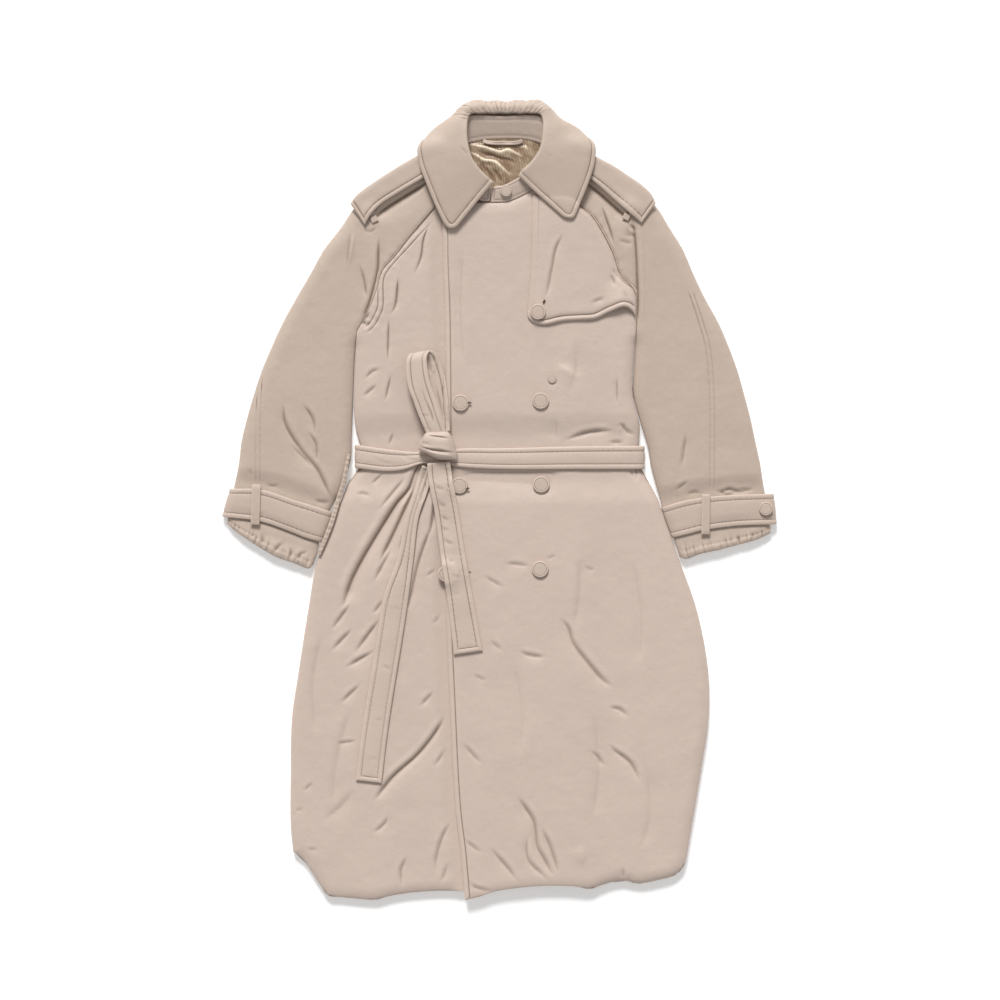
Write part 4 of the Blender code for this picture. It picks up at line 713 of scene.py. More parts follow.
SLEEVE_SEAMS = (
    (3, 0.95, 0.5, 0.03, -333, 382, -358, 321, -378, 241, -386, 161, -387, 25),
    (3, 0.95, 0.5, 0.03, 304, 337, 320, 289, 333, 241, 339, 161, 339, 17),
)
KNOT_CREASES = (
    (2.2, -127, 95, -116, 91, -102, 86), (2.6, -131, 87, -112, 82, -90, 79, -68, 76),
    (1.6, -119, 104, -98, 102, -76, 99), (-0.9, -125, 80, -100, 75, -72, 71),
)
BOW_CREASES = (
    (1.2, -146, 178, -131, 143), (1.6, -128, 191, -118, 159, -104, 126, -100, 111),
    (1.4, -118, 164, -108, 134, -106, 113), (1.8, -131, 139, -118, 136, -110, 135),
    (1.4, -124, 116, -110, 114),
)
BOW_HOLLOWS = (
    (4.42, -114, 236, -112, 218, -109, 200), (3.4, -106, 233, -105, 217), (2.72, -110, 205, -102, 203),
    (2.04, -104, 190, -92, 140, -90, 115),
)
BELT_CREASES = (
    (1.4, 205, 86, 212, 70, 210, 52), (1, 192, 84, 198, 70, 203, 56), (0.9, 222, 84, 220, 66),
    (1.4, -160, 76, -142, 66, -124, 66), (1, -212, 74, -186, 62, -160, 58), (0.6, 120, 80, 126, 62),
)
TAIL_CREASES = (
    (3.4, -107, 26, -97, 20, -86, 19), (3.4, -100, 1, -93, -6, -84, -10),
    (3.4, -96, -23, -88, -28, -78, -31), (3.1, -95, -40, -87, -46, -79, -47),
    (4, -91, -59, -82, -67, -71, -69), (3.1, -84, -93, -72, -99), (3.1, -78, -117, -70, -121, -62, -122),
    (2.3, -73, -145, -65, -151), (4, -117, 36, -122, 14, -130, -8), (3.4, -125, 12, -132, 6),
    (2.8, -170, -168, -158, -176), (2.8, -190, -262, -172, -270), (2.3, -202, -352, -186, -348),
    (2.3, -208, -410, -196, -414),
)
COLLAR_CREASES = (
    (1.6, -66, 567, -57, 558, -47, 548), (1.4, 42, 642, 54, 628, 64, 614), (0.9, 70, 552, 86, 548),
    (0.9, -100, 540, -92, 508),
)
LINING_FOLDS = (
    (-3.6, -56, 571, -40, 569, -21, 565, 0, 559, 13, 562, 32, 553, 48, 546),
    (-3.8, -52, 560, -38, 553, -25, 546, -8, 543, 4, 533, 12, 526, 24, 517),
    (2.2, -42, 562, -20, 555, 4, 548, 18, 545, 32, 538), (-2.6, 31, 563, 38, 567, 48, 560),
    (1.6, -30, 540, -14, 522, -4, 505), (1.6, -14, 535, 0, 518, 8, 506), (-2, -12, 506, 6, 500, 24, 508),
)


class Skin:
    """The points and faces of one closed piece, gathered before its mesh is made."""

    def __init__(self) -> None:
        """Starts with nothing."""
        self.points: list[Array] = []
        self.faces: list[list[int]] = []
        self.size = 0

    def add(self, grid: Array) -> Array:
        """Adds points and returns their numbers in the same rows."""
        index = np.arange(self.size, self.size + grid[..., 0].size).reshape(grid.shape[:-1])
        self.points.append(grid.reshape(-1, 3))
        self.size += index.size
        return index

    def cover(self, index: Array, ring: bool = False) -> None:
        """Lays faces over a grid of point numbers, whose last column joins its first one in a ring."""
        if ring:
            index = np.concatenate([index, index[:, :1]], axis=1)
        quads = np.stack([index[:-1, :-1], index[:-1, 1:], index[1:, 1:], index[1:, :-1]], axis=-1)
        self.faces += quads.reshape(-1, 4).tolist()

    def join(self, fine: Array, coarse: Array) -> None:
        """Closes the gap between two lines of point numbers.

        Args:
            fine: The first line, with a whole number of steps for each step of the other one.
            coarse: The second line.
        """
        k = (len(fine) - 1) // (len(coarse) - 1)
        for j in range(len(coarse) - 1):
            self.faces.append([*fine[j * k:(j + 1) * k + 1].tolist(), int(coarse[j + 1]), int(coarse[j])])

    @classmethod
    def wall(cls, crown: Array, foot: Array, ring: bool = False) -> Skin:
        """A closed wall between a fine grid of points and a coarser one.

        Args:
            crown: The fine face, with a whole number of strides between the points of the other one.
            foot: The coarser face, or one just as fine.
            ring: Whether the rows go round in a ring.

        Returns:
            The closed skin.
        """
        skin = cls()
        top, low = skin.add(crown), skin.add(foot)
        sides = [np.s_[:, 0], np.s_[:, -1]]
        if ring:
            top, low = (np.concatenate([index, index[:1]]) for index in (top, low))
        else:
            sides = [np.s_[0], np.s_[-1], *sides]
        skin.cover(top)
        skin.cover(low)
        for side in sides:
            skin.join(top[side], low[side])
        return skin

    @classmethod
    def tube(cls, outer: Array, inner: Array) -> Skin:
        """A thick tube, open at its first and its last row.

        Args:
            outer: The outer face, whose columns go round.
            inner: The inner face, with a whole number of the outer one's columns for each of its own.

        Returns:
            The closed skin.
        """
        skin = cls()
        far, near = skin.add(outer), skin.add(inner)
        skin.cover(far, ring=True)
        skin.cover(near, ring=True)
        for row in (0, -1):
            ring, core = far[row], near[row]
            skin.join(np.append(ring, ring[0]), np.append(core, core[0]))
        return skin

    @classmethod
    def capped(cls, rows: Array, first: Sequence[float], last: Sequence[float]) -> Skin:
        """A closed roll, whose rows go round, with a point before its first row and after its last one."""
        skin = cls()
        index = skin.add(rows)
        skin.cover(index, ring=True)
        for row, place in ((0, first), (-1, last)):
            tip = int(skin.add(np.array([[place]]))[0, 0])
            ring = np.append(index[row], index[row, 0])
            skin.faces += [[int(a), int(b), tip] for a, b in zip(ring[:-1], ring[1:])]
        return skin


class Finish(Enum):
    """The finishes of the coat, by the names of their materials."""

    SHELL = "shell_cloth"
    SLEEVE = "sleeve_cloth"
    TRIM = "trim_cloth"
    BELT = "belt_cloth"
    LINING = "lining_satin"
    BUTTON = "covered_button"
    THREAD = "sewing_thread"


class Held(Enum):
    """How a sheet of cloth lies."""

    LAID = "laid"
    FOLDED = "folded"
    GATHERED = "gathered"


@dataclass(frozen=True)
class Cut:
    """The flat cut of a piece of cloth in metres, how it is held and what it rests on.

    area is that of its outline, with both walls of a tube, where the cut isn't a rectangle.
    """

    width: float
    length: float
    held: Held = Held.LAID
    rests_on: tuple[str, ...] = ()
    area: float | None = None


class Heap:
    """What has been laid down so far, as a map of heights, to find how high the next piece rests."""

    cell = 0.0025
    cells = (392, 552)
    corner = (-0.49, -0.69)

    def __init__(self) -> None:
        """Starts with the bare floor."""
        self.level = np.zeros(self.cells)

    def add(self, made: bpy.types.Object) -> bpy.types.Object:
        """Counts a piece as laid down, and returns it."""
        flat = np.empty(len(made.data.vertices) * 3)
        made.data.vertices.foreach_get("co", flat)
        points = flat.reshape(-1, 3)
        i, j = np.round((points[:, :2] - self.corner) / self.cell).astype(int).T
        inside = tuple(np.clip(k, 0, size - 1) for k, size in zip((i, j), self.cells))
        np.maximum.at(self.level, inside, points[:, 2])
        return made

    def rest(self, plan: Array, reach: float = 0.006) -> Array:
        """The heights at which a piece rests.

        Args:
            plan: The plan points that it covers.
            reach: How far round each point it bears on what is below.

        Returns:
            A height for each point, smooth over steps in what is below.
        """
        n = max(int(math.ceil(reach / self.cell)), 1)
        high = self.level.copy()
        for a in range(-n, n + 1):
            for b in range(-n, n + 1):
                if a * a + b * b <= n * n + 1:
                    high = np.maximum(high, np.roll(self.level, (a, b), axis=(0, 1)))
        m = max(n - 1, 1)
        high = soften(high, m, m)
        i, j = np.moveaxis((plan[..., :2] - self.corner) / self.cell, -1, 0)
        a, b = (np.clip(np.floor(k).astype(int), 0, size - 2) for k, size in zip((i, j), self.cells))
        u, v = i - a, j - b
        low = high[a, b] * (1 - u) + high[a + 1, b] * u
        far = high[a, b + 1] * (1 - u) + high[a + 1, b + 1] * u
        return low * (1 - v) + far * v + LAY_GAP

    def rest_at(self, x: float, y: float, reach: float) -> float:
        """The height at which something small rests."""
        return float(self.rest(np.array([[[x, y]]]), reach)[0, 0])


def rim(distance: Array, stitch: float = 0.008, low: float = 0.5, fade: float = 0.012) -> Array:
    """The share of full thickness beside a stitched edge.

    Args:
        distance: How far points lie from the edge.
        stitch: Where the line of stitches runs.
        low: The share that the stitches leave of the thickness.
        fade: How far past the stitches the padding takes to rise again.

    Returns:
        The share for each point: a small roll along the edge, the stitched groove, and the padding.
    """
    roll = 0.3 + 0.62 * np.sin(math.pi * np.clip(distance / stitch, 0.0, 1.0)) ** 0.55
    held = low + (1.0 - low) * round_off(np.maximum(distance - stitch, 0.0), fade)
    mix = ease((distance - stitch + 0.001) / 0.001)
    return np.where(distance < stitch, np.maximum(roll, low * mix), held)


def band(middle: Array, thickness: Array | float, share: Array | float = 1.0, ring: bool = False) -> Skin:
    """A closed band of cloth to both sides of a grid of middle points.

    Args:
        middle: The middle points [row][column].
        thickness: The thickness in metres, for all points or for each.
        share: The share of that thickness at each point.
        ring: Whether the rows go round in a ring.

    Returns:
        The closed skin.
    """
    forward = np.roll(middle, -1, axis=0) - np.roll(middle, 1, axis=0) if ring else np.gradient(middle, axis=0)
    normal = np.cross(forward, np.gradient(middle, axis=1))
    normal /= np.maximum(np.linalg.norm(normal, axis=-1, keepdims=True), 1e-12)
    half = np.broadcast_to(np.asarray(thickness) / 2 * share, middle.shape[:2])[..., None]
    return Skin.wall(middle + normal * half, middle - normal * half, ring)


def hollows(mesh: bpy.types.Mesh, sharpest: float = 900.0, full: float = 240.0) -> Array:
    """How hollow a mesh is at each of its points, from -1 on a sharp ridge to 1 in a sharp crease."""
    count = len(mesh.vertices)
    place, normal, pairs = np.empty(3 * count), np.empty(3 * count), np.empty(2 * len(mesh.edges), int)
    mesh.vertices.foreach_get("co", place)
    mesh.vertices.foreach_get("normal", normal)
    mesh.edges.foreach_get("vertices", pairs)
    place, normal, (a, b) = place.reshape(-1, 3), normal.reshape(-1, 3), pairs.reshape(-1, 2).T
    gap = place[b] - place[a]
    square = np.maximum(np.sum(gap * gap, axis=1), 1e-8)
    around = np.bincount(a, minlength=count) + np.bincount(b, minlength=count)
    total = np.zeros(count)
    for end, sign in ((a, 2.0), (b, -2.0)):
        bend = sign * np.sum(gap * normal[end], axis=1) / square
        total += np.bincount(end, np.clip(bend, -sharpest, sharpest), count)
    value = total / np.maximum(around, 1)
    for _ in range(2):
        near = np.bincount(a, value[b], count) + np.bincount(b, value[a], count)
        value = 0.5 * value + 0.5 * near / np.maximum(around, 1)
    return np.clip(value / full, -1.0, 1.0)


def put(name: str, data: bpy.types.ID) -> bpy.types.Object:
    """Puts a new object with its data into the scene."""
    made = bpy.data.objects.new(name, data)
    bpy.context.scene.collection.objects.link(made)
    return made


class Workshop:
    """Makes the pieces of the coat, gives each its finish and counts it as laid down."""

    def __init__(self) -> None:
        """Starts with an empty floor and the finishes of the coat."""
        self.heap = Heap()
        self.looks = make_looks()

    def sew(self, name: str, node: str, skin: Skin, finish: Finish, cut: Cut | None = None) -> bpy.types.Object:
        """Makes one piece from its closed skin.

        Args:
            name: The name of the piece.
            node: The solid that it stands for, or nothing for an added piece.
            skin: Its points and faces.
            finish: What it is finished with.
            cut: Its flat cut, if it is a sheet of cloth; it is not used.

        Returns:
            The object that was made.
        """
        mesh = bpy.data.meshes.new(name)
        mesh.from_pydata(np.concatenate(skin.points).tolist(), [], skin.faces)
        work = bmesh.new()
        work.from_mesh(mesh)
        bmesh.ops.recalc_face_normals(work, faces=work.faces)
        if work.calc_volume(signed=True) < 0:
            bmesh.ops.reverse_faces(work, faces=work.faces)
        surface = sum(face.calc_area() for face in work.faces)
        work.to_mesh(mesh)
        work.free()
        mesh.shade_smooth()
        # How hollow each point is, from which the materials paint shade into creases and highlight onto ridges
        mesh.attributes.new("hollow", "FLOAT", "POINT").data.foreach_set("value", hollows(mesh))
        made = put(name, mesh)
        mesh.materials.append(self.looks[finish])
        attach(made, "root")
        if node:
            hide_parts(node)
        LOG.info("%s: %d faces, %.3f m2", name, len(mesh.polygons), surface / 2)
        return self.heap.add(made)


def seam_line(side: Points, raglan: Points, count: int) -> Array:
    """The points of a seam shared by two pieces, such as the raglan seam from the armpit to the neck."""
    return curve_at([(x, y) for y, x in (*side[-1:], *raglan)], even(count))


def edge_x(rows: Points, y: Array) -> Array:
    """The x of a side edge at heights y, from its table of rows."""
    curve = smooth(rows)
    return np.interp(y, curve[:, Y], curve[:, X])


@dataclass
class Body:
    """The back and the two fronts, the left one lapped over the right one."""

    shop: Workshop
    edge_wall: float = 0.0045
    seam_wall: float = 0.009
    thinnest: float = 0.0018
    front_loft: float = 0.0105
    free_loft: float = 0.0025
    lap_loft: float = 0.0085
    rounding: float = 0.02
    pinch_flat: float = 0.031
    pinch_fade: float = 0.045
    pinch_depth: float = 0.0045
    step_start: float = 0.03
    step_width: float = 0.06
    edge_stitch: float = 0.008
    deepest_mark: float = 0.003

    def rows(self, step: float) -> tuple[Array, int]:
        """The heights of the lower rows, and how many rows follow along the raglan seam."""
        low = np.concatenate([HEM_ROWS, np.arange(*EVEN_ROWS, step)])
        seam = int(RAGLAN_LENGTH / step)
        return low, seam + (1 - len(low) - seam) % STRIDE

    def side(self, table: Points, low: Array, upper: Array) -> Array:
        """Points up a side edge: one for each low row, drawn to the hem's corner, then the upper ones."""
        pull = np.clip(1.0 - (low - low[0]) / HEM_REACH, 0.0, 1.0)
        y = low + (table[0][Y] - low[0]) * pull
        return np.concatenate([np.stack([edge_x(table, y), y], axis=-1), upper])

    def front_side(self, table: Points, low: Array, count: int) -> Array:
        """Points up a front edge, with its upper rows spread evenly from the armpit to the neck."""
        y = np.linspace(ARMPIT_Y, table[-1][Y], count)
        return self.side(table, low, np.stack([edge_x(table, y), y], axis=-1))

    def grid(self, first: Array, last: Array, hem: Points, neckline: Points, across: Array) -> Array:
        """Plan points of a panel.

        Args:
            first: Its side at -X, from the hem up.
            last: Its side at +X.
            hem: The points of its hem.
            neckline: The points of its upper edge.
            across: The fractions at which its columns stand.

        Returns:
            The plan points [row][column].
        """
        middle = (first[:, 1] + last[:, 1]) / 2
        near_hem = np.clip(1.0 - (middle - middle[0]) / HEM_REACH, 0.0, 1.0)
        near_neck = np.clip(1.0 - (middle[-1] - middle) / NECK_REACH, 0.0, 1.0)
        u = across[None, :, None]
        plan = (1 - u) * first[:, None] + u * last[:, None]
        for curve, weight in ((hem, near_hem), (neckline, near_neck)):
            line = curve_at(curve, across)
            chord = (1 - across[:, None]) * line[0] + across[:, None] * line[-1]
            plan = plan + (weight**1.5)[:, None, None] * (line - chord)[None]
        return plan

    def pinch(self, y: Array) -> Array:
        """The share of the belt's squeeze at a height on the body."""
        return 1.0 - ease((np.abs(y - BELT_Y) - self.pinch_flat) / self.pinch_fade)

    def puff(self, plan: Array, full: Array | float, seam: Array, seed: int) -> Array:
        """The thickness of a front over its foot, with all that creases it.

        Args:
            plan: The plan points.
            full: The full thickness.
            seam: The line of its raglan seam.
            seed: The seed of its padding.

        Returns:
            The thickness at each point.
        """
        distance = edge_distance(plan, border(plan, 5))
        at_seam = 1.0 - ease((edge_distance(plan, seam[::4]) - 0.006) / 0.02)
        edge = self.edge_wall + (self.seam_wall - self.edge_wall) * at_seam
        inside = round_off(distance, self.rounding - SEAM_TIGHTER * at_seam)
        marks = Fill(seed).loft(plan) + self.dimples(plan)
        folds = creased(plan, FRONT_CREASES) + creased(plan, FRONT_SWELLS, 2.6)
        marks += folds + welted(plan, SEAM_WELTS)
        return edge + (full - edge) * inside + marks * (0.3 + 0.7 * inside)

    def dimples(self, plan: Array) -> Array:
        """How the buttons draw the padding in round them."""
        total = np.zeros(plan.shape[:-1])
        for _, x, y, radius in BUTTONS:
            away = np.linalg.norm(plan - np.array((x, y)), axis=-1)
            total -= 0.0011 * bell(away / (1.25 * radius))
        return total

    def back(self) -> None:
        """Sews the back, whose underside lies flat with a few soft creases let into it."""
        step = 2.6 * STEP
        low, count = self.rows(step)
        sides = []
        for table, raglan, neck in (
            (RIGHT_SIDE, RIGHT_RAGLAN, RIGHT_NECK_SIDE), (LEFT_SIDE, LEFT_RAGLAN, LEFT_NECK_SIDE)
        ):
            seam = seam_line(table, raglan, count)
            past_seam = seam_line(raglan, neck, 3 * STRIDE + 1)
            sides.append(self.side(table, low, np.concatenate([seam, past_seam[1:]])))
        plan = self.grid(*sides, BACK_HEM, BACK_NECKLINE, whole(spread(0.56, step)))
        near_edge = 1.0 - round_off(edge_distance(plan, border(plan, 3)), 0.012)
        foot = np.maximum(0.0025 * near_edge, (BELT_UNDER + SEAM_GAP) * self.pinch(plan[..., 1]))
        marks = -0.55 * creased(plan * MIRRORED, FRONT_CREASES[::2])
        foot = np.minimum(foot + np.clip(marks, 0.0, self.deepest_mark), BACK_TOP - 0.0025)
        crown = plan[::STRIDE, ::STRIDE]
        skin = Skin.wall(lift(plan, foot), lift(crown, np.full(crown.shape[:2], BACK_TOP)))
        self.shop.sew("back_panel", "back", skin, Finish.SHELL, Cut(0.68, 1.24, area=0.597))

    def right(self) -> None:
        """Sews the right front, whose lap lies flat under the left one."""
        low, count = self.rows(STEP)
        seam = seam_line(RIGHT_SIDE, RIGHT_RAGLAN, count)
        line = self.front_side(LAP_LINE, low, count)
        shown_part = spread(0.245, 0.95 * STEP, high=False)
        lap_part = np.linspace(0.0, 1.0, 13 + (1 - len(shown_part) - 12) % STRIDE)
        shown = self.grid(self.side(RIGHT_SIDE, low, seam), line, RIGHT_HEM, RIGHT_NECKLINE, shown_part)
        lap = self.grid(line, self.front_side(UNDERLAP_SIDE, low, count), LAP_HEM, LAP_NECKLINE, lap_part)
        plan = np.concatenate([shown, lap[:, 1:]], axis=1)
        x, y = plan[..., 0], plan[..., 1]
        puffed = FRONT_FOOT + self.puff(plan, self.front_loft, seam, 11) - self.pinch_depth * self.pinch(y)
        lap_edge = edge_x(FRONT_EDGE, y)
        clear = ease((lap_edge - x - 0.004) / 0.022) * (1.0 - ease((y - 0.415) / 0.04))
        crown = UNDERLAP_TOP + (puffed - UNDERLAP_TOP) * clear
        crown = np.where(x > lap_edge - 0.001, np.minimum(crown, UNDERLAP_TOP), crown)
        foot = plan[::STRIDE, ::STRIDE]
        skin = Skin.wall(lift(plan, np.maximum(crown, FRONT_FOOT + self.thinnest)), lift(foot, FRONT_FOOT))
        cut = Cut(0.46, 1.16, rests_on=("back_panel",), area=0.39)
        self.shop.sew("front_panel_right", "front_right", skin, Finish.SHELL, cut)

    def left(self) -> None:
        """Sews the left front, over the right one's lap and then down to the back."""
        step = 1.1 * STEP
        low, count = self.rows(step)
        seam = seam_line(LEFT_SIDE, LEFT_RAGLAN, count)
        first = self.front_side(FRONT_EDGE, low, count)
        across = whole(spread(0.385, step))
        plan = self.grid(first, self.side(LEFT_SIDE, low, seam), LEFT_HEM, LEFT_NECKLINE, across)
        past_lap = ease((plan[..., 0] - UNDERLAP_EDGE - self.step_start) / self.step_width)
        foot = OVERLAP_FOOT + (FRONT_FOOT - OVERLAP_FOOT) * past_lap
        full = self.lap_loft + (self.front_loft + self.free_loft - self.lap_loft) * past_lap
        crown = foot + self.puff(plan, full, seam, 12) - self.pinch_depth * self.pinch(plan[..., 1])
        from_edge = edge_distance(plan, first[::4])
        crown -= 0.001 * bell((from_edge - self.edge_stitch) / 0.0016)
        crown = lift(plan, np.maximum(crown, foot + self.thinnest))
        skin = Skin.wall(crown, lift(plan, foot)[::STRIDE, ::STRIDE])
        cut = Cut(0.44, 1.16, rests_on=("front_panel_right", "back_panel"), area=0.382)
        self.shop.sew("front_panel_left", "front_left", skin, Finish.SHELL, cut)

    def build(self) -> None:
        """Sews the three panels, from the lowest up."""
        self.back()
        self.right()
        self.left()


def drawn_in(grid: Array, inset: float) -> Array:
    """The same rows with their ends drawn in by a wall's thickness."""
    out = np.empty_like(grid)
    fractions = even(grid.shape[1])
    for i, row in enumerate(grid):
        share = min(inset / line_length(row), 0.3)
        out[i] = along(row, share + (1.0 - 2.0 * share) * fractions)
    return out


def pressed_tube(plan: Array, foot: Array, crown: Array, wall: float = 0.009) -> Skin:
    """A tube of cloth pressed flat, with a slit between its two walls.

    Args:
        plan: The plan points, in a number of columns that COLUMNS divides.
        foot: The height of the underside.
        crown: The height of the upper side.
        wall: The thickness of the cloth at its sides.

    Returns:
        The closed skin.
    """
    count = plan.shape[1]
    under, over_slit, under_slit = (
        np.round(np.linspace(0, count - 1, count // every)).astype(int) for every in (3, 6, COLUMNS)
    )
    outer = np.concatenate([lift(plan, crown), lift(plan, foot)[:, under[::-1]]], axis=1)
    rows = np.unique(np.append(np.arange(0, len(plan), 8), len(plan) - 1))
    core = drawn_in(plan[rows], wall)
    inner = lift(core, SLIT_TOP)[:, over_slit], lift(core, SLIT_FOOT)[:, under_slit[::-1]]
    return Skin.tube(outer, np.concatenate(inner, axis=1))


def in_columns(fractions: Array) -> Array:
    """The fractions, spread again so that COLUMNS divides their number."""
    return respread(fractions, COLUMNS * round(len(fractions) / COLUMNS))


@dataclass
class Sleeve:
    """One raglan sleeve with its gathered cuff. outwards is 1 for the right one and -1 for the left one."""

    shop: Workshop
    side: str
    outline: dict[str, Points]
    cuff_outline: dict[str, Points]
    body_side: tuple[Points, Points]
    strap: Points
    outwards: float
    loft: float = 0.0195
    cuff_length: float = 0.055
    cuff_loft: float = 0.0165
    side_foot: float = 0.0055
    side_top: float = 0.0098
    seam_top: float = 0.017
    seam_rows: int = 14
    rounding: float = 0.02
    under_rounding: float = 0.014
    seam_gap: float = 0.00016

    def at_strap(self, plan: Array, flat: float, fade: float) -> Array:
        """The share of the strap's squeeze: all of it within a flat width, and then fading."""
        return 1.0 - ease(np.maximum(edge_distance(plan, smooth(self.strap)) - flat, 0.0) / fade)

    def sleeve(self) -> None:
        """Sews the sleeve, from the edge that the cuff strap hides up to the neck."""
        count = int(RAGLAN_LENGTH / STEP)
        seam = seam_line(*self.body_side, count)
        seam = seam + self.seam_gap * self.outwards * to_the_left(seam)
        low = np.linspace(0.0, 1.0, int(0.335 / STEP), endpoint=False)
        inner = curve_at((*self.outline["inner"][:-1], tuple(seam[0])), low)
        outer = smooth(self.outline["outer"])
        turn = int(np.argmin(np.abs(outer[:, 1] - seam[0, 1])))
        first = np.concatenate([inner, seam])
        last = np.concatenate([along(outer[:turn + 1], low), along(outer[turn:], even(count))])
        across = in_columns(spread(0.17, 1.05 * STEP))
        plan = patch(self.outline["cuff"], self.outline["neck"], first, last, across)
        past_armpit = (np.arange(len(plan)) - len(low) + self.seam_rows) / self.seam_rows
        at_seam = np.zeros(plan.shape[:2])
        at_seam[:, :plan.shape[1] // 2] = ease(past_armpit)[:, None]
        distance = edge_distance(plan, np.concatenate([plan[::5, 0], plan[::-5, -1]]))
        at_strap = self.at_strap(plan, 0.032, 0.028)
        side_top = self.side_top + (self.seam_top - self.side_top) * at_seam
        full = self.loft - 0.0045 * at_strap
        inside = round_off(distance, self.rounding - SEAM_TIGHTER * at_seam)
        marks = Fill(21).loft(plan)
        marks += creased(plan, SLEEVE_CREASES) + welted(plan, SEAM_WELTS) + welted(plan, SLEEVE_SEAMS)
        crown = side_top + (full - side_top) * inside + marks * inside
        foot = self.side_foot * (1.0 - at_seam) * (1.0 - round_off(distance, self.under_rounding))
        foot = np.maximum(foot, STRAP_UNDER * at_strap)
        dents = np.clip(-0.5 * creased(plan * MIRRORED, SLEEVE_CREASES), 0.0, 0.003)
        skin = pressed_tube(plan, foot + dents * inside, crown)
        cut = Cut(0.44, 0.66, area=0.15)
        self.shop.sew(f"raglan_sleeve_{self.side}", f"sleeve_{self.side}", skin, Finish.SLEEVE, cut)

    def cuff(self) -> None:
        """Sews the gathered end of the sleeve, below its strap."""
        table = self.cuff_outline
        rolled = np.array(RIM) / self.cuff_length
        up = np.concatenate([rolled[:-1], np.linspace(rolled[-1], 1.0, 24)])
        across = in_columns(spread(0.155, 0.0016))
        first, last = curve_at(table["inner"], up), curve_at(table["outer"], up)
        plan = patch(table["end"], table["top"], first, last, across)
        distance = edge_distance(plan, np.concatenate([plan[:, 0], plan[::-1, -1]]))
        at_strap = self.at_strap(plan, 0.04, 0.02)
        from_end = up[:, None] * self.cuff_length
        turn = math.tau * across[None, :]
        bent = turn + 0.35 * np.sin(3 * turn + 1.0) + 0.1 * np.sin(11 * turn)
        reach = 0.55 + 0.45 * np.sin(2.6 * turn + 0.8)
        puffs = 2.0 * np.abs(np.sin(3.5 * bent + 0.4)) ** 0.5 - 1.2
        puffs = puffs * (1.0 - ease(up[:, None] / (0.35 + 0.45 * reach)))
        gathers = 2.6 * np.abs(np.sin(6.5 * bent + 0.9 * np.sin(4 * turn))) ** 0.35 - 2.0
        gathers = gathers + 0.3 * np.sin(33 * bent)
        near_end = (1.0 - ease((from_end - 0.005) / (0.01 + 0.018 * reach))) * (0.6 + 0.6 * reach)
        full = self.cuff_loft - 0.002 * at_strap - 0.0045 * (1.0 - round_off(from_end, 0.013))
        groove = 0.0008 * bell((from_end - 0.0125) / 0.003)
        raised = full - self.side_top + 0.0017 * puffs + 0.0011 * gathers * near_end - groove
        raised = raised + creased(plan, CUFF_CREASES) + Fill(22).loft(plan, 0.8)
        crown = self.side_top + raised * round_off(distance, 0.018)
        foot = self.side_foot * (1.0 - round_off(distance, self.under_rounding))
        foot = np.maximum(foot, STRAP_UNDER * at_strap)
        foot = foot + 0.0035 * (1.0 - round_off(from_end, 0.008)) + 0.0004 * (1 + gathers) * near_end
        skin = pressed_tube(plan, foot, crown)
        cut = Cut(0.32, 0.09, Held.GATHERED, area=0.015)
        self.shop.sew(f"gathered_cuff_{self.side}", f"cuff_{self.side}", skin, Finish.SLEEVE, cut)

    def build(self) -> None:
        """Sews both pieces."""
        self.sleeve()
        self.cuff()


@dataclass
class Loop:
    """A strap that goes over flat cloth and back under it, where it is as thick as under says."""

    shop: Workshop
    upper: Points
    lower: Points
    thickness: float
    under: float
    width: float
    turn_share: float
    reach: float = 0.0075
    wrinkle: Points = ()
    stitch: float = 0.008

    def across(self, fractions: Array, sides: Array) -> Array:
        """Plan points at fractions of both edges."""
        low, high = curve_at(self.lower, fractions), curve_at(self.upper, fractions)
        return low[:, None] * (1 - sides) + high[:, None] * sides

    def skin(self) -> Skin:
        """The closed skin of the strap, with a line of stitches inside each edge."""
        sides = spread(self.width, 0.0022)[None, :, None]
        near, steps = self.turn_share, int(line_length(smooth(self.upper)) / 0.0024)
        over = self.across(np.linspace(near, 1.0 - near, steps), sides)
        top = blur(self.shop.heap.rest(over, self.reach), 3, 0) + self.thickness / 2
        low = self.under / 2
        turn = smooth(STRAP_TURN, 4)[1:-1]
        rows, walls = [lift(over, top)], [np.full(steps, self.thickness)]
        for end in (1, 0):
            out, level = turn.T if end else turn[::-1].T
            height = top[-end][None]
            plan = self.across(1.0 - near * out if end else near * out, sides)
            rows.append(lift(plan, low + (height - low) * level[:, None]))
            walls.append(self.under + (self.thickness - self.under) * level)
            if end:
                below = self.across(np.linspace(1.0 - near, near, max(steps // 3, 3)), sides)
                rows.append(lift(below, low))
                walls.append(np.full(len(below), self.under))
        middle = np.concatenate(rows)
        from_side = np.minimum(sides[..., 0], 1.0 - sides[..., 0]) * self.width
        share = np.broadcast_to(rim(from_side), middle.shape[:2]).copy()
        share[:steps] += creased(over, self.wrinkle, 0.8) / self.thickness
        x = over[..., 0]
        puckers = np.sin(x * math.tau / 0.0073 + 2.0 * np.sin(x * 90.0))
        share[:steps] += 0.1 * (bell((from_side - self.stitch) / 0.003) * puckers)
        return band(middle, np.concatenate(walls)[:, None], share, ring=True)


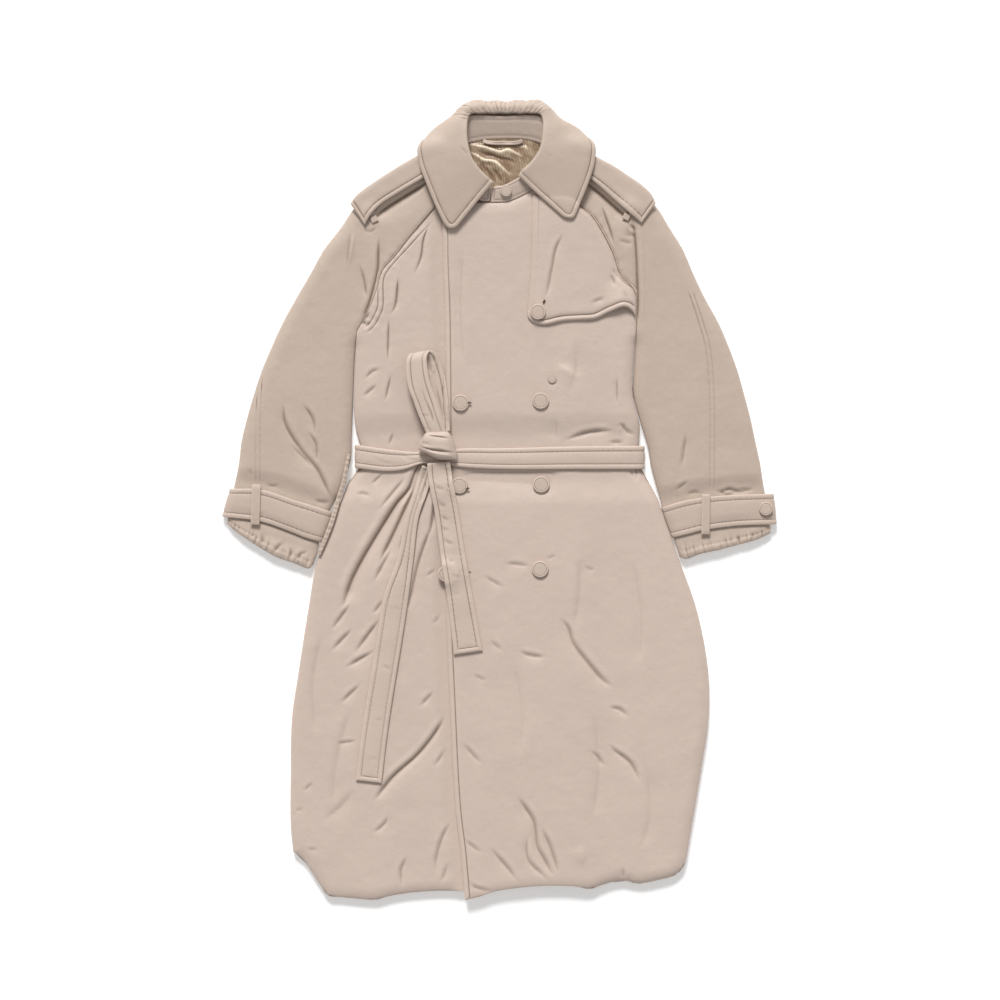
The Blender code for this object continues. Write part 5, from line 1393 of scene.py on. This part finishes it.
@dataclass
class Strip:
    """A strip of doubled cloth that lies on what is below it, stitched inside its edges."""

    shop: Workshop
    rows: Points
    thickness: float
    stitch: float = 0.008
    reach: float = 0.006
    ends: tuple[bool, bool] = (False, True)
    slack: float = 0.0
    beads: float = 0.0
    wrinkle: Points = ()

    def plan(self) -> tuple[Array, Array, Array]:
        """The plan points of the strip, the lift of each row, and how far each point lies from an edge."""
        curve = smooth(self.rows)
        length = line_length(curve[:, :2])
        along_it = spread(length, 0.0023, *self.ends)
        curve = along(curve, along_it)
        half = curve[:, 2:3]
        width = 2.0 * curve[:, 2].mean()
        shares = spread(width, 0.002) if width > 0.024 else even(13)
        sides = (2.0 * shares - 1.0)[None, :] * half
        plan = curve[:, None, :2] + to_the_left(curve[:, :2])[:, None] * sides[..., None]
        from_edge = np.minimum(shares, 1.0 - shares)[None, :] * 2.0 * half
        for is_edge, share in zip(self.ends, (along_it, 1.0 - along_it)):
            if is_edge:
                from_edge = np.minimum(from_edge, share[:, None] * length)
        return plan, curve[:, 3:4], from_edge

    def skin(self) -> Skin:
        """The closed skin of the strip."""
        plan, raised, from_edge = self.plan()
        height = self.shop.heap.rest(plan, self.reach)
        level = blur(np.maximum(height, height.max(axis=1, keepdims=True) - 0.002), 4, 0)
        level = np.maximum(level, height) + self.thickness / 2 + raised
        share = rim(from_edge, self.stitch) if self.stitch else 0.35 + 0.65 * round_off(from_edge, 0.0022)
        share = share + creased(plan, self.wrinkle, 0.8) / self.thickness
        if self.slack:
            pull = bell((from_edge - self.stitch) / 0.0035) * (0.6 + 0.6 * Fill(32).at(plan, 0.04))
            share = share + 0.07 * pull * np.sin(np.sum(plan * (0.5, 1.0), axis=-1) * math.tau / 0.0078)
        if self.beads:
            walk = np.linalg.norm(plan - plan[:1], axis=-1)
            pull = np.abs(np.sin(walk * math.pi / 0.0085 + 0.8 * np.sin(walk * 130.0))) ** 6
            share = share * (1.0 - self.beads * pull)
        level = level + self.slack * Fill(31).at(plan, 0.03)
        return band(lift(plan, level), self.thickness, np.maximum(share, THINNEST_SHARE))


@dataclass
class Belt:
    """The belt round the waist, tied in a half bow with two hanging tails."""

    shop: Workshop
    thickness: float = 0.0048
    tail_thickness: float = 0.005
    bow_thickness: float = 0.0042
    bow_steps: int = 150
    front_share: float = 0.46

    def waist(self) -> None:
        """Sews the belt itself."""
        loop = Loop(
            self.shop, **BELT, thickness=self.thickness, under=BELT_UNDER, width=0.035, turn_share=0.03,
            wrinkle=BELT_CREASES,
        )
        cut = Cut(0.036, 0.93, Held.FOLDED, ("front_panel_left", "front_panel_right"))
        self.shop.sew("waist_belt", "belt", loop.skin(), Finish.BELT, cut)

    def tails(self) -> None:
        """Sews the two tails, the short one over the long one."""
        for name, rows, width, length in (("long", LONG_TAIL, 0.041, 0.51), ("short", SHORT_TAIL, 0.044, 0.31)):
            strip = Strip(self.shop, rows, self.tail_thickness, slack=0.0005, wrinkle=TAIL_CREASES)
            cut = Cut(width, length, rests_on=("waist_belt", "front_panel_right"))
            self.shop.sew(f"tail_{name}", f"belt_tail_{name}", strip.skin(), Finish.BELT, cut)

    def bow(self) -> None:
        """Sews the loop of the half bow, folded over at its top."""
        curve = curve_at(BOW, even(self.bow_steps))
        shares, half = spread(0.046, 0.0018), curve[:, 3:4]
        tilt = np.array((0.98, 0.18, 0.0))
        middle = curve[:, None, :3] + tilt * ((2.0 * shares - 1.0)[None, :] * half)[..., None]
        plan = middle[..., :2]
        resting = self.shop.heap.rest(plan, 0.0025) + self.bow_thickness / 2
        middle[..., 2] = np.maximum(middle[..., 2], blur(resting, 3, 0))
        middle[..., 2] += 0.0006 * Fill(33).at(plan, 0.018, 2.4)
        share = rim(np.minimum(shares, 1.0 - shares)[None, :] * 2.0 * half, 0.0075)
        in_front = (np.arange(self.bow_steps) < self.front_share * self.bow_steps)[:, None]
        marks = np.where(in_front, creased(plan, BOW_CREASES, 0.7), creased(plan, BOW_HOLLOWS, 0.8))
        share = share + marks / self.bow_thickness
        skin = band(middle, self.bow_thickness, np.maximum(share, THINNEST_SHARE))
        cut = Cut(0.036, 0.27, Held.FOLDED, ("front_panel_right",))
        self.shop.sew("bow_loop", "belt_bow", skin, Finish.BELT, cut)

    def knot(self, level: Array) -> None:
        """Makes the knot, a fat roll of belt with its stitched edges wrapped round it.

        Args:
            level: The map of heights without the bow, which the knot holds.
        """
        curve = curve_at(KNOT, even(70))
        turn = np.linspace(0.0, math.tau, 96, endpoint=False)
        c, s = np.cos(turn), np.sin(turn)
        wide = curve[:, 3:4] * np.sign(c) * np.abs(c) ** 0.65
        plan = np.stack([np.broadcast_to(curve[:, 0:1], wide.shape), curve[:, 1:2] + wide], axis=-1)
        height = curve[:, 2:3] + curve[:, 4:5] * np.sign(s) * np.abs(s) ** 0.75
        held, self.shop.heap.level = self.shop.heap.level, level
        resting = self.shop.heap.rest(plan, 0.004)
        self.shop.heap.level = held
        height = np.where(s[None, :] < 0.1, np.maximum(height, resting), height)
        height = height + creased(plan, KNOT_CREASES, 0.5) * ease((s[None, :] + 0.1) / 0.5)
        skin = Skin.capped(lift(plan, height), curve[0, :3], curve[-1, :3])
        self.shop.sew("tied_knot", "belt_knot", skin, Finish.BELT)

    def build(self) -> None:
        """Sews the tails, the bow and the knot over the belt."""
        self.tails()
        level = self.shop.heap.level.copy()
        self.bow()
        self.knot(level)


@dataclass
class StormFlap:
    """The storm flap on the left chest, whose hem lifts in a wave near the armhole."""

    shop: Workshop
    thickness: float = 0.0055
    wave: float = 0.0065
    wave_x: float = 0.192
    stitch: float = 0.0085
    side_stitch: float = 0.0098

    def build(self) -> None:
        """Sews the flap."""
        across, up = spread(0.15, 0.0018), spread(0.185, 0.0019)
        plan = patch(FLAP["hem"], FLAP["top"], curve_at(FLAP["left"], up), curve_at(FLAP["right"], up), across)
        from_hem = edge_distance(plan, plan[0])
        from_left = edge_distance(plan, plan[::2, 0])
        from_others = edge_distance(plan, np.concatenate([plan[:, -1], plan[-1, ::-1]])[::2])
        lifted = self.wave * bell((plan[..., 0] - self.wave_x) / 0.022) * bell(from_hem / 0.03)
        foot = soften(self.shop.heap.rest(plan), 2, 2) + lifted
        soft = 0.3 + 0.7 * round_off(from_left, 0.03)
        soft = soft - 0.07 * bell((from_left - self.side_stitch) / 0.0016)
        thick = self.thickness * np.minimum(rim(from_hem, self.stitch, 0.42, 0.008), soft)
        thick = np.minimum(thick, self.thickness * (0.3 + 0.7 * round_off(from_others, 0.006)))
        crown = foot + thick + creased(plan, FLAP_CREASES) + Fill(41).loft(plan, 0.7)
        skin = Skin.wall(lift(plan, np.maximum(crown, foot + 0.0012)), lift(plan, foot))
        cut = Cut(0.18, 0.215, rests_on=("front_panel_left",), area=0.0249)
        self.shop.sew("chest_flap", "storm_flap", skin, Finish.SHELL, cut)


@dataclass
class ShoulderStrap:
    """A padded shoulder strap that stands a little off the sleeve, with its end cut on a slant."""

    shop: Workshop
    side: str
    edges: dict[str, Points]
    thickness: float = 0.006
    level: float = 0.024
    length: float = 0.155
    width: float = 0.039
    stitch: float = 0.0078

    def build(self) -> None:
        """Sews the strap."""
        shares, cross = spread(self.length, 0.0021, low=False), spread(self.width, 0.0019)
        lower, upper = curve_at(self.edges["lower"], shares), curve_at(self.edges["upper"], shares)
        plan = lower[:, None] * (1 - cross[:, None]) + upper[:, None] * cross[:, None]
        height = np.maximum(self.level, self.shop.heap.rest(plan, 0.007) + self.thickness / 2)
        from_tip = (1.0 - shares[:, None]) * self.length
        from_edge = np.minimum(cross[None, :] * self.width, from_tip)
        upper_edge = 0.3 + 0.7 * round_off((1.0 - cross) * self.width, 0.01)
        share = np.minimum(rim(from_edge, self.stitch, 0.42, 0.006), upper_edge)
        share = share + 0.05 * Fill(51).at(plan, 0.011)
        puckers = 0.05 * np.sin(shares * self.length / 0.0016)[:, None]
        share = share + puckers * bell((from_edge - self.stitch) / 0.003)
        skin = band(lift(plan, soften(height, 4, 3)), self.thickness, share)
        cut = Cut(0.036, 0.16, rests_on=(f"raglan_sleeve_{self.side}",))
        self.shop.sew(f"shoulder_strap_{self.side}", f"epaulette_{self.side}", skin, Finish.TRIM, cut)


@dataclass
class Neck:
    """The satin lining that the open neck shows, the collar stand and the collar."""

    shop: Workshop
    stand_length: float = 0.5
    stand_width: float = 0.034
    stand_thickness: float = 0.004
    collar_length: float = 0.62
    collar_width: float = 0.11
    collar_thickness: float = 0.0062
    collar_stitch: float = 0.008
    leaf_height: float = 0.0275
    point: float = 0.013

    def lining(self) -> None:
        """Sews the ribbed satin lining, crumpled where the neck folds it."""
        outline = LINING_OUTLINE
        rows, columns = even(84), even(112)
        first, last = curve_at(outline["left"], rows), curve_at(outline["right"], rows)
        plan = patch(outline["bottom"], outline["top"], first, last, columns)
        foot = np.full(plan.shape[:2], BACK_TOP + LAY_GAP)
        fill = Fill(61)
        drift = 0.003 * fill.at(plan, 0.022)
        over_ribs = plan[..., 0] * RIB_SLANT[0] + plan[..., 1] * RIB_SLANT[1] + drift
        ribs = 0.00014 * np.sin(over_ribs * math.tau / RIB)
        crumple = 0.0006 * fill.at(plan, 0.014) + 0.0003 * fill.at(plan, 0.006)
        crown = foot + 0.0036 + creased(plan, LINING_FOLDS) + ribs + crumple
        thick = np.maximum(crown, foot + 0.0008) - foot
        near = 0.4 + 0.6 * round_off(edge_distance(plan, border(plan, 4)), 0.006)
        skin = Skin.wall(lift(plan, foot + thick * near), lift(plan, foot))
        self.shop.sew("neck_lining", "lining", skin, Finish.LINING, Cut(0.125, 0.105, rests_on=("back_panel",)))

    def stand(self) -> None:
        """Sews the stand, a band round the neck with its left end lapped over the right one."""
        table = np.array(STAND)
        shares, cross = spread(self.stand_length, 0.0026), spread(self.stand_width, 0.0016)
        low, high = curve_at(table[:, :3], shares), curve_at(table[:, 3:], shares)
        u = cross[None, :, None]
        middle = low[:, None] * (1 - u) + high[:, None] * u
        from_side = np.minimum(cross, 1.0 - cross)[None, :] * self.stand_width
        from_end = np.minimum(shares, 1 - shares)[:, None] * self.stand_length
        share = rim(np.minimum(from_side, from_end), 0.0056, 0.45, 0.005)
        skin = band(middle, self.stand_thickness, share)
        # Painted light: the stand takes the paler belt cloth, to offset the shade that the collar casts on it
        self.shop.sew("neck_stand", "collar_stand", skin, Finish.BELT, Cut(0.03, 0.46, Held.FOLDED))

    def collar(self) -> None:
        """Sews the collar: two pointed leaves, and the gathered roll that turns under behind the neck."""
        table = np.array(COLLAR).reshape(-1, 4, 3)
        stations, cross = spread(self.collar_length, 0.0021), spread(self.collar_width, 0.0024, low=False)
        sections = np.stack([curve_at(table[:, k], stations) for k in range(4)], axis=1)
        middle = np.array([curve_at(section, cross) for section in sections])
        plan = middle[..., :2]
        over = ease((middle[..., 2] - self.leaf_height) / 0.003)
        resting = soften(self.shop.heap.rest(plan) + self.collar_thickness / 2, 4, 3)
        middle[..., 2] += over * np.maximum(resting - middle[..., 2], 0.0)
        down = np.linalg.norm(np.diff(middle, axis=1), axis=2)
        from_outer = np.cumsum(down[:, ::-1], axis=1)[:, ::-1]
        from_outer = np.concatenate([from_outer, np.zeros((len(middle), 1))], axis=1)
        steps = np.linalg.norm(np.diff(middle, axis=0), axis=2)
        walked = np.concatenate([np.zeros((1, middle.shape[1])), np.cumsum(steps, axis=0)])
        from_end = np.minimum(walked, walked[-1] - walked)
        near = np.clip(1.0 - np.stack([from_outer, from_end]) / self.point, 0.0, 1.0)
        drawn = self.point * (1.0 - near.max(axis=0) / np.maximum(np.hypot(*near), 1e-9))
        outward, onward = np.gradient(middle, axis=1), np.gradient(middle, axis=0)
        onward = onward * np.where(walked < walked[-1] / 2, -1.0, 1.0)[..., None]
        for part, way in zip(near, (outward, onward)):
            way /= np.maximum(np.linalg.norm(way, axis=-1, keepdims=True), 1e-9)
            middle -= (drawn * part)[..., None] * way
        share = rim(np.minimum(from_outer, from_end), self.collar_stitch, 0.42, 0.009)
        share = np.minimum(share, 0.35 + 0.65 * round_off(cross * self.collar_width, 0.004)[None, :])
        marks = creased(plan, COLLAR_CREASES) + Fill(71).loft(plan, 0.8)
        share = share + marks * over / self.collar_thickness
        behind = ease((0.185 - np.abs(stations - 0.5)) / 0.03)[:, None]
        walk, u = stations[:, None] * self.collar_length, cross[None, :]
        ruche = np.sin(walk * 520.0 + 2.2 * np.sin(walk * 61.0))
        ruche = ruche + 0.6 * np.sin(walk * 1130.0 + 2.0 * np.sin(walk * 97.0))
        middle[..., 1] += 0.0012 * behind * (np.sin(walk * 170.0) + 0.5 * ruche) * bell((u - 0.3) / 0.3)
        share = share + 0.26 * ruche * behind * bell((u - 0.08) / 0.1)
        share = share - 0.3 * behind * bell((u - 0.02) / 0.016)
        skin = band(middle, self.collar_thickness, np.maximum(share, 0.22))
        rests = ("raglan_sleeve_right", "raglan_sleeve_left", "front_panel_right", "front_panel_left")
        self.shop.sew("coat_collar", "collar", skin, Finish.SLEEVE, Cut(0.13, 0.8, Held.FOLDED, rests, 0.038))

    def hanger(self) -> None:
        """Sews the hanger loop over the lining."""
        strip = Strip(self.shop, HANGER, thickness=0.002, stitch=0.0, reach=0.003, ends=(False, False))
        self.shop.sew("hang_loop", "hanger_loop", strip.skin(), Finish.TRIM, Cut(0.01, 0.066, area=0.0005))

    def build(self) -> None:
        """Sews all of the neck but the lining."""
        self.stand()
        self.collar()
        self.hanger()


@dataclass
class Buttons:
    """The cloth-covered buttons: low domes with a rolled rim, and the buttonholes beside some of them."""

    shop: Workshop
    full_radius: float = 0.0133
    full_height: float = 0.0048
    sides: int = 56
    sunk: float = 0.0006
    hole_half_length: float = 0.0027
    stitches: int = 30

    def cover(self, name: str, x: float, y: float, radius: float, height: float) -> None:
        """Makes one button where it rests.

        Args:
            name: The name of its solid.
            x: The x of its middle.
            y: The y of its middle.
            radius: Its radius.
            height: Its height.
        """
        base = self.shop.heap.rest_at(x, y, radius * 0.8) - self.sunk
        turn = np.linspace(0.0, math.tau, self.sides, endpoint=False)
        share, level = np.split(smooth(BUTTON_PROFILE, 4), 2, axis=1)
        pull = 0.012 * np.sin(9 * turn)[None, :] * bell((share - 0.8) / 0.25)
        out = radius * share
        rows = x + out * np.cos(turn), y + out * np.sin(turn), base + height * (level + pull)
        skin = Skin.capped(np.stack(rows, axis=-1), (x, y, base), (x, y, base + height))
        self.shop.sew(f"covered_{name}", name, skin, Finish.BUTTON)

    def hole(self, number: int, x: float, y: float, turn: float) -> None:
        """Makes one buttonhole: a flat ring of close stitches.

        Args:
            number: Its number in the name.
            x: The x of its middle.
            y: The y of its middle.
            turn: Its direction in degrees.
        """
        base = self.shop.heap.rest_at(x, y, 0.003) - 0.001
        round_it = np.linspace(0.0, math.tau, 2 * self.stitches, endpoint=False)
        tube = np.linspace(0.0, math.tau, 10, endpoint=False)
        c, s = math.cos(math.radians(turn)), math.sin(math.radians(turn))
        bump = 1.0 + 0.18 * np.sin(self.stitches * round_it)[:, None]
        out = 0.0007 * np.cos(tube)[None, :] * bump
        u = (self.hole_half_length + out) * np.cos(round_it)[:, None]
        v = (0.001 + out) * np.sin(round_it)[:, None]
        z = base + 0.0009 * bump * np.sin(tube)[None, :]
        skin = Skin()
        index = skin.add(np.stack([x + u * c - v * s, y + u * s + v * c, z], axis=-1))
        skin.cover(np.concatenate([index, index[:1]]), ring=True)
        self.shop.sew(f"buttonhole_{number}", "", skin, Finish.THREAD)

    def build(self) -> None:
        """Makes all of the buttons, and then the buttonholes."""
        for name, x, y, radius in BUTTONS:
            self.cover(name, x, y, radius, self.full_height * radius / self.full_radius)
        for row in LOOSE_BUTTONS:
            self.cover(*row)
        for number, row in enumerate(BUTTONHOLES, 1):
            self.hole(number, *row)


class Value:
    """One socket of a material, for shader maths written as Python expressions."""

    def __init__(self, paint: Paint, socket: bpy.types.NodeSocket) -> None:
        """Keeps the socket and the material that it belongs to."""
        self.paint, self.socket = paint, socket

    def __add__(self, other: Value | float) -> Value:
        """The sum of both."""
        return self.paint.math("ADD", self, other)

    __radd__ = __add__

    def __mul__(self, other: Value | float) -> Value:
        """The product of both."""
        return self.paint.math("MULTIPLY", self, other)

    __rmul__ = __mul__

    def __sub__(self, other: Value | float) -> Value:
        """This less the other."""
        return self.paint.math("SUBTRACT", self, other)

    def __rsub__(self, other: Value | float) -> Value:
        """The other less this."""
        return self.paint.math("SUBTRACT", other, self)


class Paint:
    """A material under construction: its nodes, and the shader that they end in."""

    def __init__(self, name: str) -> None:
        """Starts a material with a plain shader."""
        self.material = bpy.data.materials.new(name)
        self.material.use_nodes = True
        self.tree = self.material.node_tree
        self.shader = self.tree.nodes["Principled BSDF"]

    def node(self, kind: str, settings: dict[str, Any], inputs: dict[int | str, Any]) -> bpy.types.Node:
        """Adds a node.

        Args:
            kind: The type of the node.
            settings: Its settings, set first; stops is a list of a ramp's places and colours.
            inputs: The values or links of its sockets.

        Returns:
            The node.
        """
        made = self.tree.nodes.new(kind)
        for key, value in settings.items():
            if key == "stops":
                ramp = made.color_ramp
                while len(ramp.elements) < len(value):
                    ramp.elements.new(0.5)
                for element, (place, colour) in zip(ramp.elements, value):
                    element.position, element.color = place, (*colour, 1.0)
            else:
                setattr(made, key, value)
        for key, value in inputs.items():
            if isinstance(value, Value):
                self.tree.links.new(value.socket, made.inputs[key])
            else:
                made.inputs[key].default_value = value
        return made

    def math(self, operation: str, first: Value | float, second: Value | float = 0.0) -> Value:
        """A Math node on one or two values."""
        made = self.node("ShaderNodeMath", {"operation": operation}, {0: first, 1: second})
        return Value(self, made.outputs[0])

    def mix(self, share: Value, first: Value | tuple, second: Value | tuple) -> Value:
        """The first colour turned into the second one by a share."""
        both = {0: share, 6: first, 7: second}
        return Value(self, self.node("ShaderNodeMix", {"data_type": "RGBA"}, both).outputs[2])

    def hollow(self) -> Value:
        """How hollow the piece is, from -1 on a ridge to 1 in a crease."""
        return Value(self, self.node("ShaderNodeAttribute", {"attribute_name": "hollow"}, {}).outputs["Fac"])

    def crease_shade_and_ridge_highlight(self, colour: Value, plain: Colour) -> Value:
        """A colour with painted shade in creases and stitched lines, and a painted highlight on ridges.

        Args:
            colour: The colour of the cloth.
            plain: Its plain base colour, from which the painted shade colour and the painted highlight colour
                come.

        Returns:
            The colour.
        """
        # Painted shade is a dark brown copy of the colour, and painted highlight is a paler one
        crease_shade = (plain[0] * 0.36, plain[1] * 0.31, plain[2] * 0.27, 1.0)
        ridge_highlight = (*(min(1.16 * c, 1.0) for c in plain), 1.0)
        # Painted shade where the piece is hollow, painted highlight where it is ridged
        low = self.math("MINIMUM", self.math("MAXIMUM", self.hollow() * 1.45 - 0.09, 0.0), 0.85)
        high = self.math("MINIMUM", self.math("MAXIMUM", self.hollow() * -0.9 - 0.06, 0.0), 0.6)
        return self.mix(low, self.mix(high, colour, ridge_highlight), crease_shade)

    def place(self) -> tuple[Value, Value, Value, Value]:
        """The place in metres on the piece, as a vector and as its x, y and z."""
        made = self.node("ShaderNodeTexCoord", {}, {})
        whole_place = Value(self, made.outputs["Object"])
        split = self.node("ShaderNodeSeparateXYZ", {}, {0: whole_place})
        return (whole_place, *(Value(self, out) for out in split.outputs))

    def noise(self, at: Value, scale: float, detail: float = 2.0, rough: float = 0.5) -> Value:
        """Smooth noise from 0 to 1, with so many bumps in a metre."""
        inputs = {"Vector": at, "Scale": scale, "Detail": detail, "Roughness": rough}
        return Value(self, self.node("ShaderNodeTexNoise", {}, inputs).outputs["Fac"])

    def finish(self, colour: Value, roughness: Value, height: Value, depth: float) -> bpy.types.Material:
        """Ends the material.

        Args:
            colour: Its base colour.
            roughness: Its roughness.
            height: Its low relief, from 0 to 1.
            depth: The height of that relief in metres.

        Returns:
            The material.
        """
        bump = self.node("ShaderNodeBump", {}, {"Height": height, "Strength": 1.0, "Distance": depth})
        ends = {"Base Color": colour, "Roughness": roughness, "Normal": Value(self, bump.outputs[0])}
        for name, value in ends.items():
            self.tree.links.new(value.socket, self.shader.inputs[name])
        return self.material


@dataclass(frozen=True)
class PaddedCloth:
    """The smooth, tightly woven face cloth, with so many clouds, slubs and crumples in a metre."""

    slot: Finish
    colour: Colour
    roughness: float = 0.5
    sheen: float = 0.18
    thread: float = 0.00062
    shade: float = 0.045
    clouds: float = 11.0
    slubs: float = 190.0
    crumples: float = 62.0
    relief: float = 0.00075

    def make(self) -> bpy.types.Material:
        """Makes the material."""
        paint = Paint(self.slot.value)
        at, x, y, z = paint.place()
        beat = math.tau / self.thread
        warp = paint.math("SINE", (x + z * 0.7) * beat)
        weft = paint.math("SINE", (y - z * 0.7) * beat)
        weave = warp * weft * 0.5 + 0.5
        cloudy = paint.noise(at, self.clouds, 3.0)
        slub = paint.noise(at, self.slubs, 2.0)
        tone = cloudy * 0.62 + slub * 0.22 + weave * 0.16
        dark = (*(c * (1.0 - self.shade) for c in self.colour), 1.0)
        light = (*(min(c * (1.0 + self.shade), 1.0) for c in self.colour), 1.0)
        # The cloth's random tone, with painted shade in its creases and a painted highlight on its ridges
        colour = paint.crease_shade_and_ridge_highlight(paint.mix(tone, dark, light), self.colour)
        roughness = cloudy * 0.1 + slub * 0.05 + (self.roughness - 0.075)
        crumple = paint.noise(at, self.crumples, 3.0, 0.55)
        height = crumple * 0.8 + slub * 0.12 + weave * 0.08
        paint.shader.inputs["Sheen Weight"].default_value = self.sheen
        paint.shader.inputs["Sheen Roughness"].default_value = 0.4
        paint.shader.inputs["Specular IOR Level"].default_value = 0.42
        return paint.finish(colour, roughness, height, self.relief)


@dataclass(frozen=True)
class GoldSatin:
    """The glossy satin of the lining, with fine ribs, painted highlight on its high folds and painted shade in
    its low folds and creases.
    """

    slot: Finish
    dark: Colour
    light: Colour
    painted_highlight: Colour = (0.93, 0.83, 0.68)
    level: float = 0.0086

    def make(self) -> bpy.types.Material:
        """Makes the material."""
        paint = Paint(self.slot.value)
        at, x, y, z = paint.place()
        over_ribs = x * RIB_SLANT[0] + y * RIB_SLANT[1]
        rib = paint.math("SINE", over_ribs * (math.tau / RIB)) * 0.5 + 0.5
        patches = paint.noise(at, 70.0, 3.0, 0.6)
        # Painted light: the higher the satin lies above level, the brighter it is, and its creases are darker
        # as painted shade; the patches vary at random
        tone = (z - self.level) * 88.0 + (patches - 0.5) * 0.9 - paint.hollow() * 0.35
        dusky = tuple((2 * a + b) / 3 for a, b in zip(self.dark, self.light))
        # From the painted shade of the low folds up to the painted highlight of the high ones
        stops = [(0.0, self.dark), (0.35, dusky), (0.62, self.light), (0.95, self.painted_highlight)]
        ramp = paint.node("ShaderNodeValToRGB", {"stops": stops}, {0: tone})
        colour = paint.mix(rib * 0.15, Value(paint, ramp.outputs[0]), (*self.dark, 1.0))
        roughness = patches * 0.16 + 0.2
        paint.shader.inputs["Sheen Weight"].default_value = 0.1
        return paint.finish(colour, roughness, rib * 0.6 + paint.noise(at, 240.0) * 0.4, 0.00035)


def make_looks() -> dict[Finish, bpy.types.Material]:
    """The material of each finish."""
    looks = (
        PaddedCloth(Finish.SHELL, SHELL_COLOUR), PaddedCloth(Finish.SLEEVE, SLEEVE_COLOUR),
        PaddedCloth(Finish.BELT, BELT_COLOUR, roughness=0.48, shade=0.035),
        PaddedCloth(Finish.TRIM, TRIM_COLOUR, roughness=0.48, shade=0.035),
        PaddedCloth(Finish.BUTTON, BUTTON_COLOUR, roughness=0.42, shade=0.03),
        PaddedCloth(Finish.THREAD, THREAD_COLOUR, roughness=0.55, sheen=0.1, thread=0.0004),
        GoldSatin(Finish.LINING, (0.23, 0.145, 0.088), (0.74, 0.6, 0.43)),
    )
    return {look.slot: look.make() for look in looks}


@dataclass
class Studio:
    """The plain pale floor, the soft light from above the collar, and the camera straight overhead."""

    floor_half: float = 6.0
    camera_height: float = 6.0
    seen_width: float = 1.6
    seen_at: float = 0.015
    middle: tuple[float, float] = (0.0, 0.0008)
    sun: float = 3.24
    height: float = 39.0
    turned: float = 8.0
    spread: float = 19.0
    sky: float = 0.42
    sensor: float = 36.0

    def build(self) -> None:
        """Sets up the floor, the lights and the camera."""
        floor = bpy.data.meshes.new("studio_floor")
        corners = [
            (self.floor_half * x, self.floor_half * y, -0.0004) for x, y in ((-1, -1), (1, -1), (1, 1), (-1, 1))
        ]
        floor.from_pydata(corners, [], [(0, 1, 2, 3)])
        plane = put("studio_floor", floor)
        paint = Paint("studio_floor")
        paint.shader.inputs["Base Color"].default_value = (0.93, 0.93, 0.93, 1.0)
        paint.shader.inputs["Roughness"].default_value = 0.9
        paint.shader.inputs["Emission Color"].default_value = (1.0, 1.0, 1.0, 1.0)
        paint.shader.inputs["Emission Strength"].default_value = 0.24
        plane.data.materials.append(paint.material)
        data = bpy.data.lights.new("key", "SUN")
        data.energy, data.angle = self.sun, math.radians(self.spread)
        lamp = put("key", data)
        lamp.rotation_euler = (math.radians(self.height - 90.0), 0.0, math.radians(self.turned))
        world = bpy.context.scene.world or bpy.data.worlds.new("World")
        bpy.context.scene.world = world
        world.use_nodes = True
        back = world.node_tree.nodes["Background"]
        back.inputs["Color"].default_value = (1.0, 1.0, 1.0, 1.0)
        back.inputs["Strength"].default_value = self.sky
        bpy.context.scene.view_settings.view_transform = "Standard"
        data = bpy.data.cameras.new("camera")
        data.sensor_width = self.sensor
        data.lens = self.sensor * (self.camera_height - self.seen_at) / self.seen_width
        data.clip_end = 50.0
        camera = put("camera", data)
        camera.location = (*self.middle, self.camera_height)
        bpy.context.scene.camera = camera


def main() -> None:
    """Builds the coat from the surface up, then the light and the camera."""
    logging.basicConfig(level=logging.INFO, format="%(name)s %(message)s")
    shop = Workshop()
    Body(shop).build()
    right, left = (RIGHT_SIDE, RIGHT_RAGLAN), (LEFT_SIDE, LEFT_RAGLAN)
    Sleeve(shop, "right", RIGHT_SLEEVE, RIGHT_CUFF, right, RIGHT_STRAP["middle"], 1.0).build()
    Sleeve(shop, "left", LEFT_SLEEVE, LEFT_CUFF, left, LEFT_STRAP["middle"], -1.0).build()
    neck = Neck(shop)
    neck.lining()
    for side, strap, rows in (("right", RIGHT_STRAP, RIGHT_EPAULETTE), ("left", LEFT_STRAP, LEFT_EPAULETTE)):
        under = STRAP_UNDER - SEAM_GAP
        loop = Loop(shop, strap["upper"], strap["lower"], 0.0042, under, width=0.048, turn_share=0.1)
        cut = Cut(0.048, 0.38, Held.FOLDED, (f"raglan_sleeve_{side}",))
        shop.sew(f"sleeve_strap_{side}", f"cuff_strap_{side}", loop.skin(), Finish.TRIM, cut)
        keeper = Strip(shop, CUFF_KEEPERS[side], 0.0026, stitch=0.0, ends=(True, True))
        shop.sew(f"strap_keeper_{side}", f"cuff_keeper_{side}", keeper.skin(), Finish.TRIM, Cut(0.015, 0.068))
        keeper = Strip(shop, SHOULDER_KEEPERS[side], 0.0024, stitch=0.0, ends=(True, True))
        shop.sew(f"tip_keeper_{side}", f"shoulder_keeper_{side}", keeper.skin(), Finish.TRIM, Cut(0.012, 0.026))
        ShoulderStrap(shop, side, rows).build()
    seam = Strip(shop, SIDE_SEAM, thickness=0.0052, stitch=0.0, ends=(True, True), beads=0.55)
    shop.sew("side_seam_right", "", seam.skin(), Finish.SLEEVE, Cut(0.01, 0.17))
    StormFlap(shop).build()
    neck.build()
    belt = Belt(shop)
    belt.waist()
    Buttons(shop).build()
    belt.build()
    Studio().build()


if __name__ == "__main__":
    main()
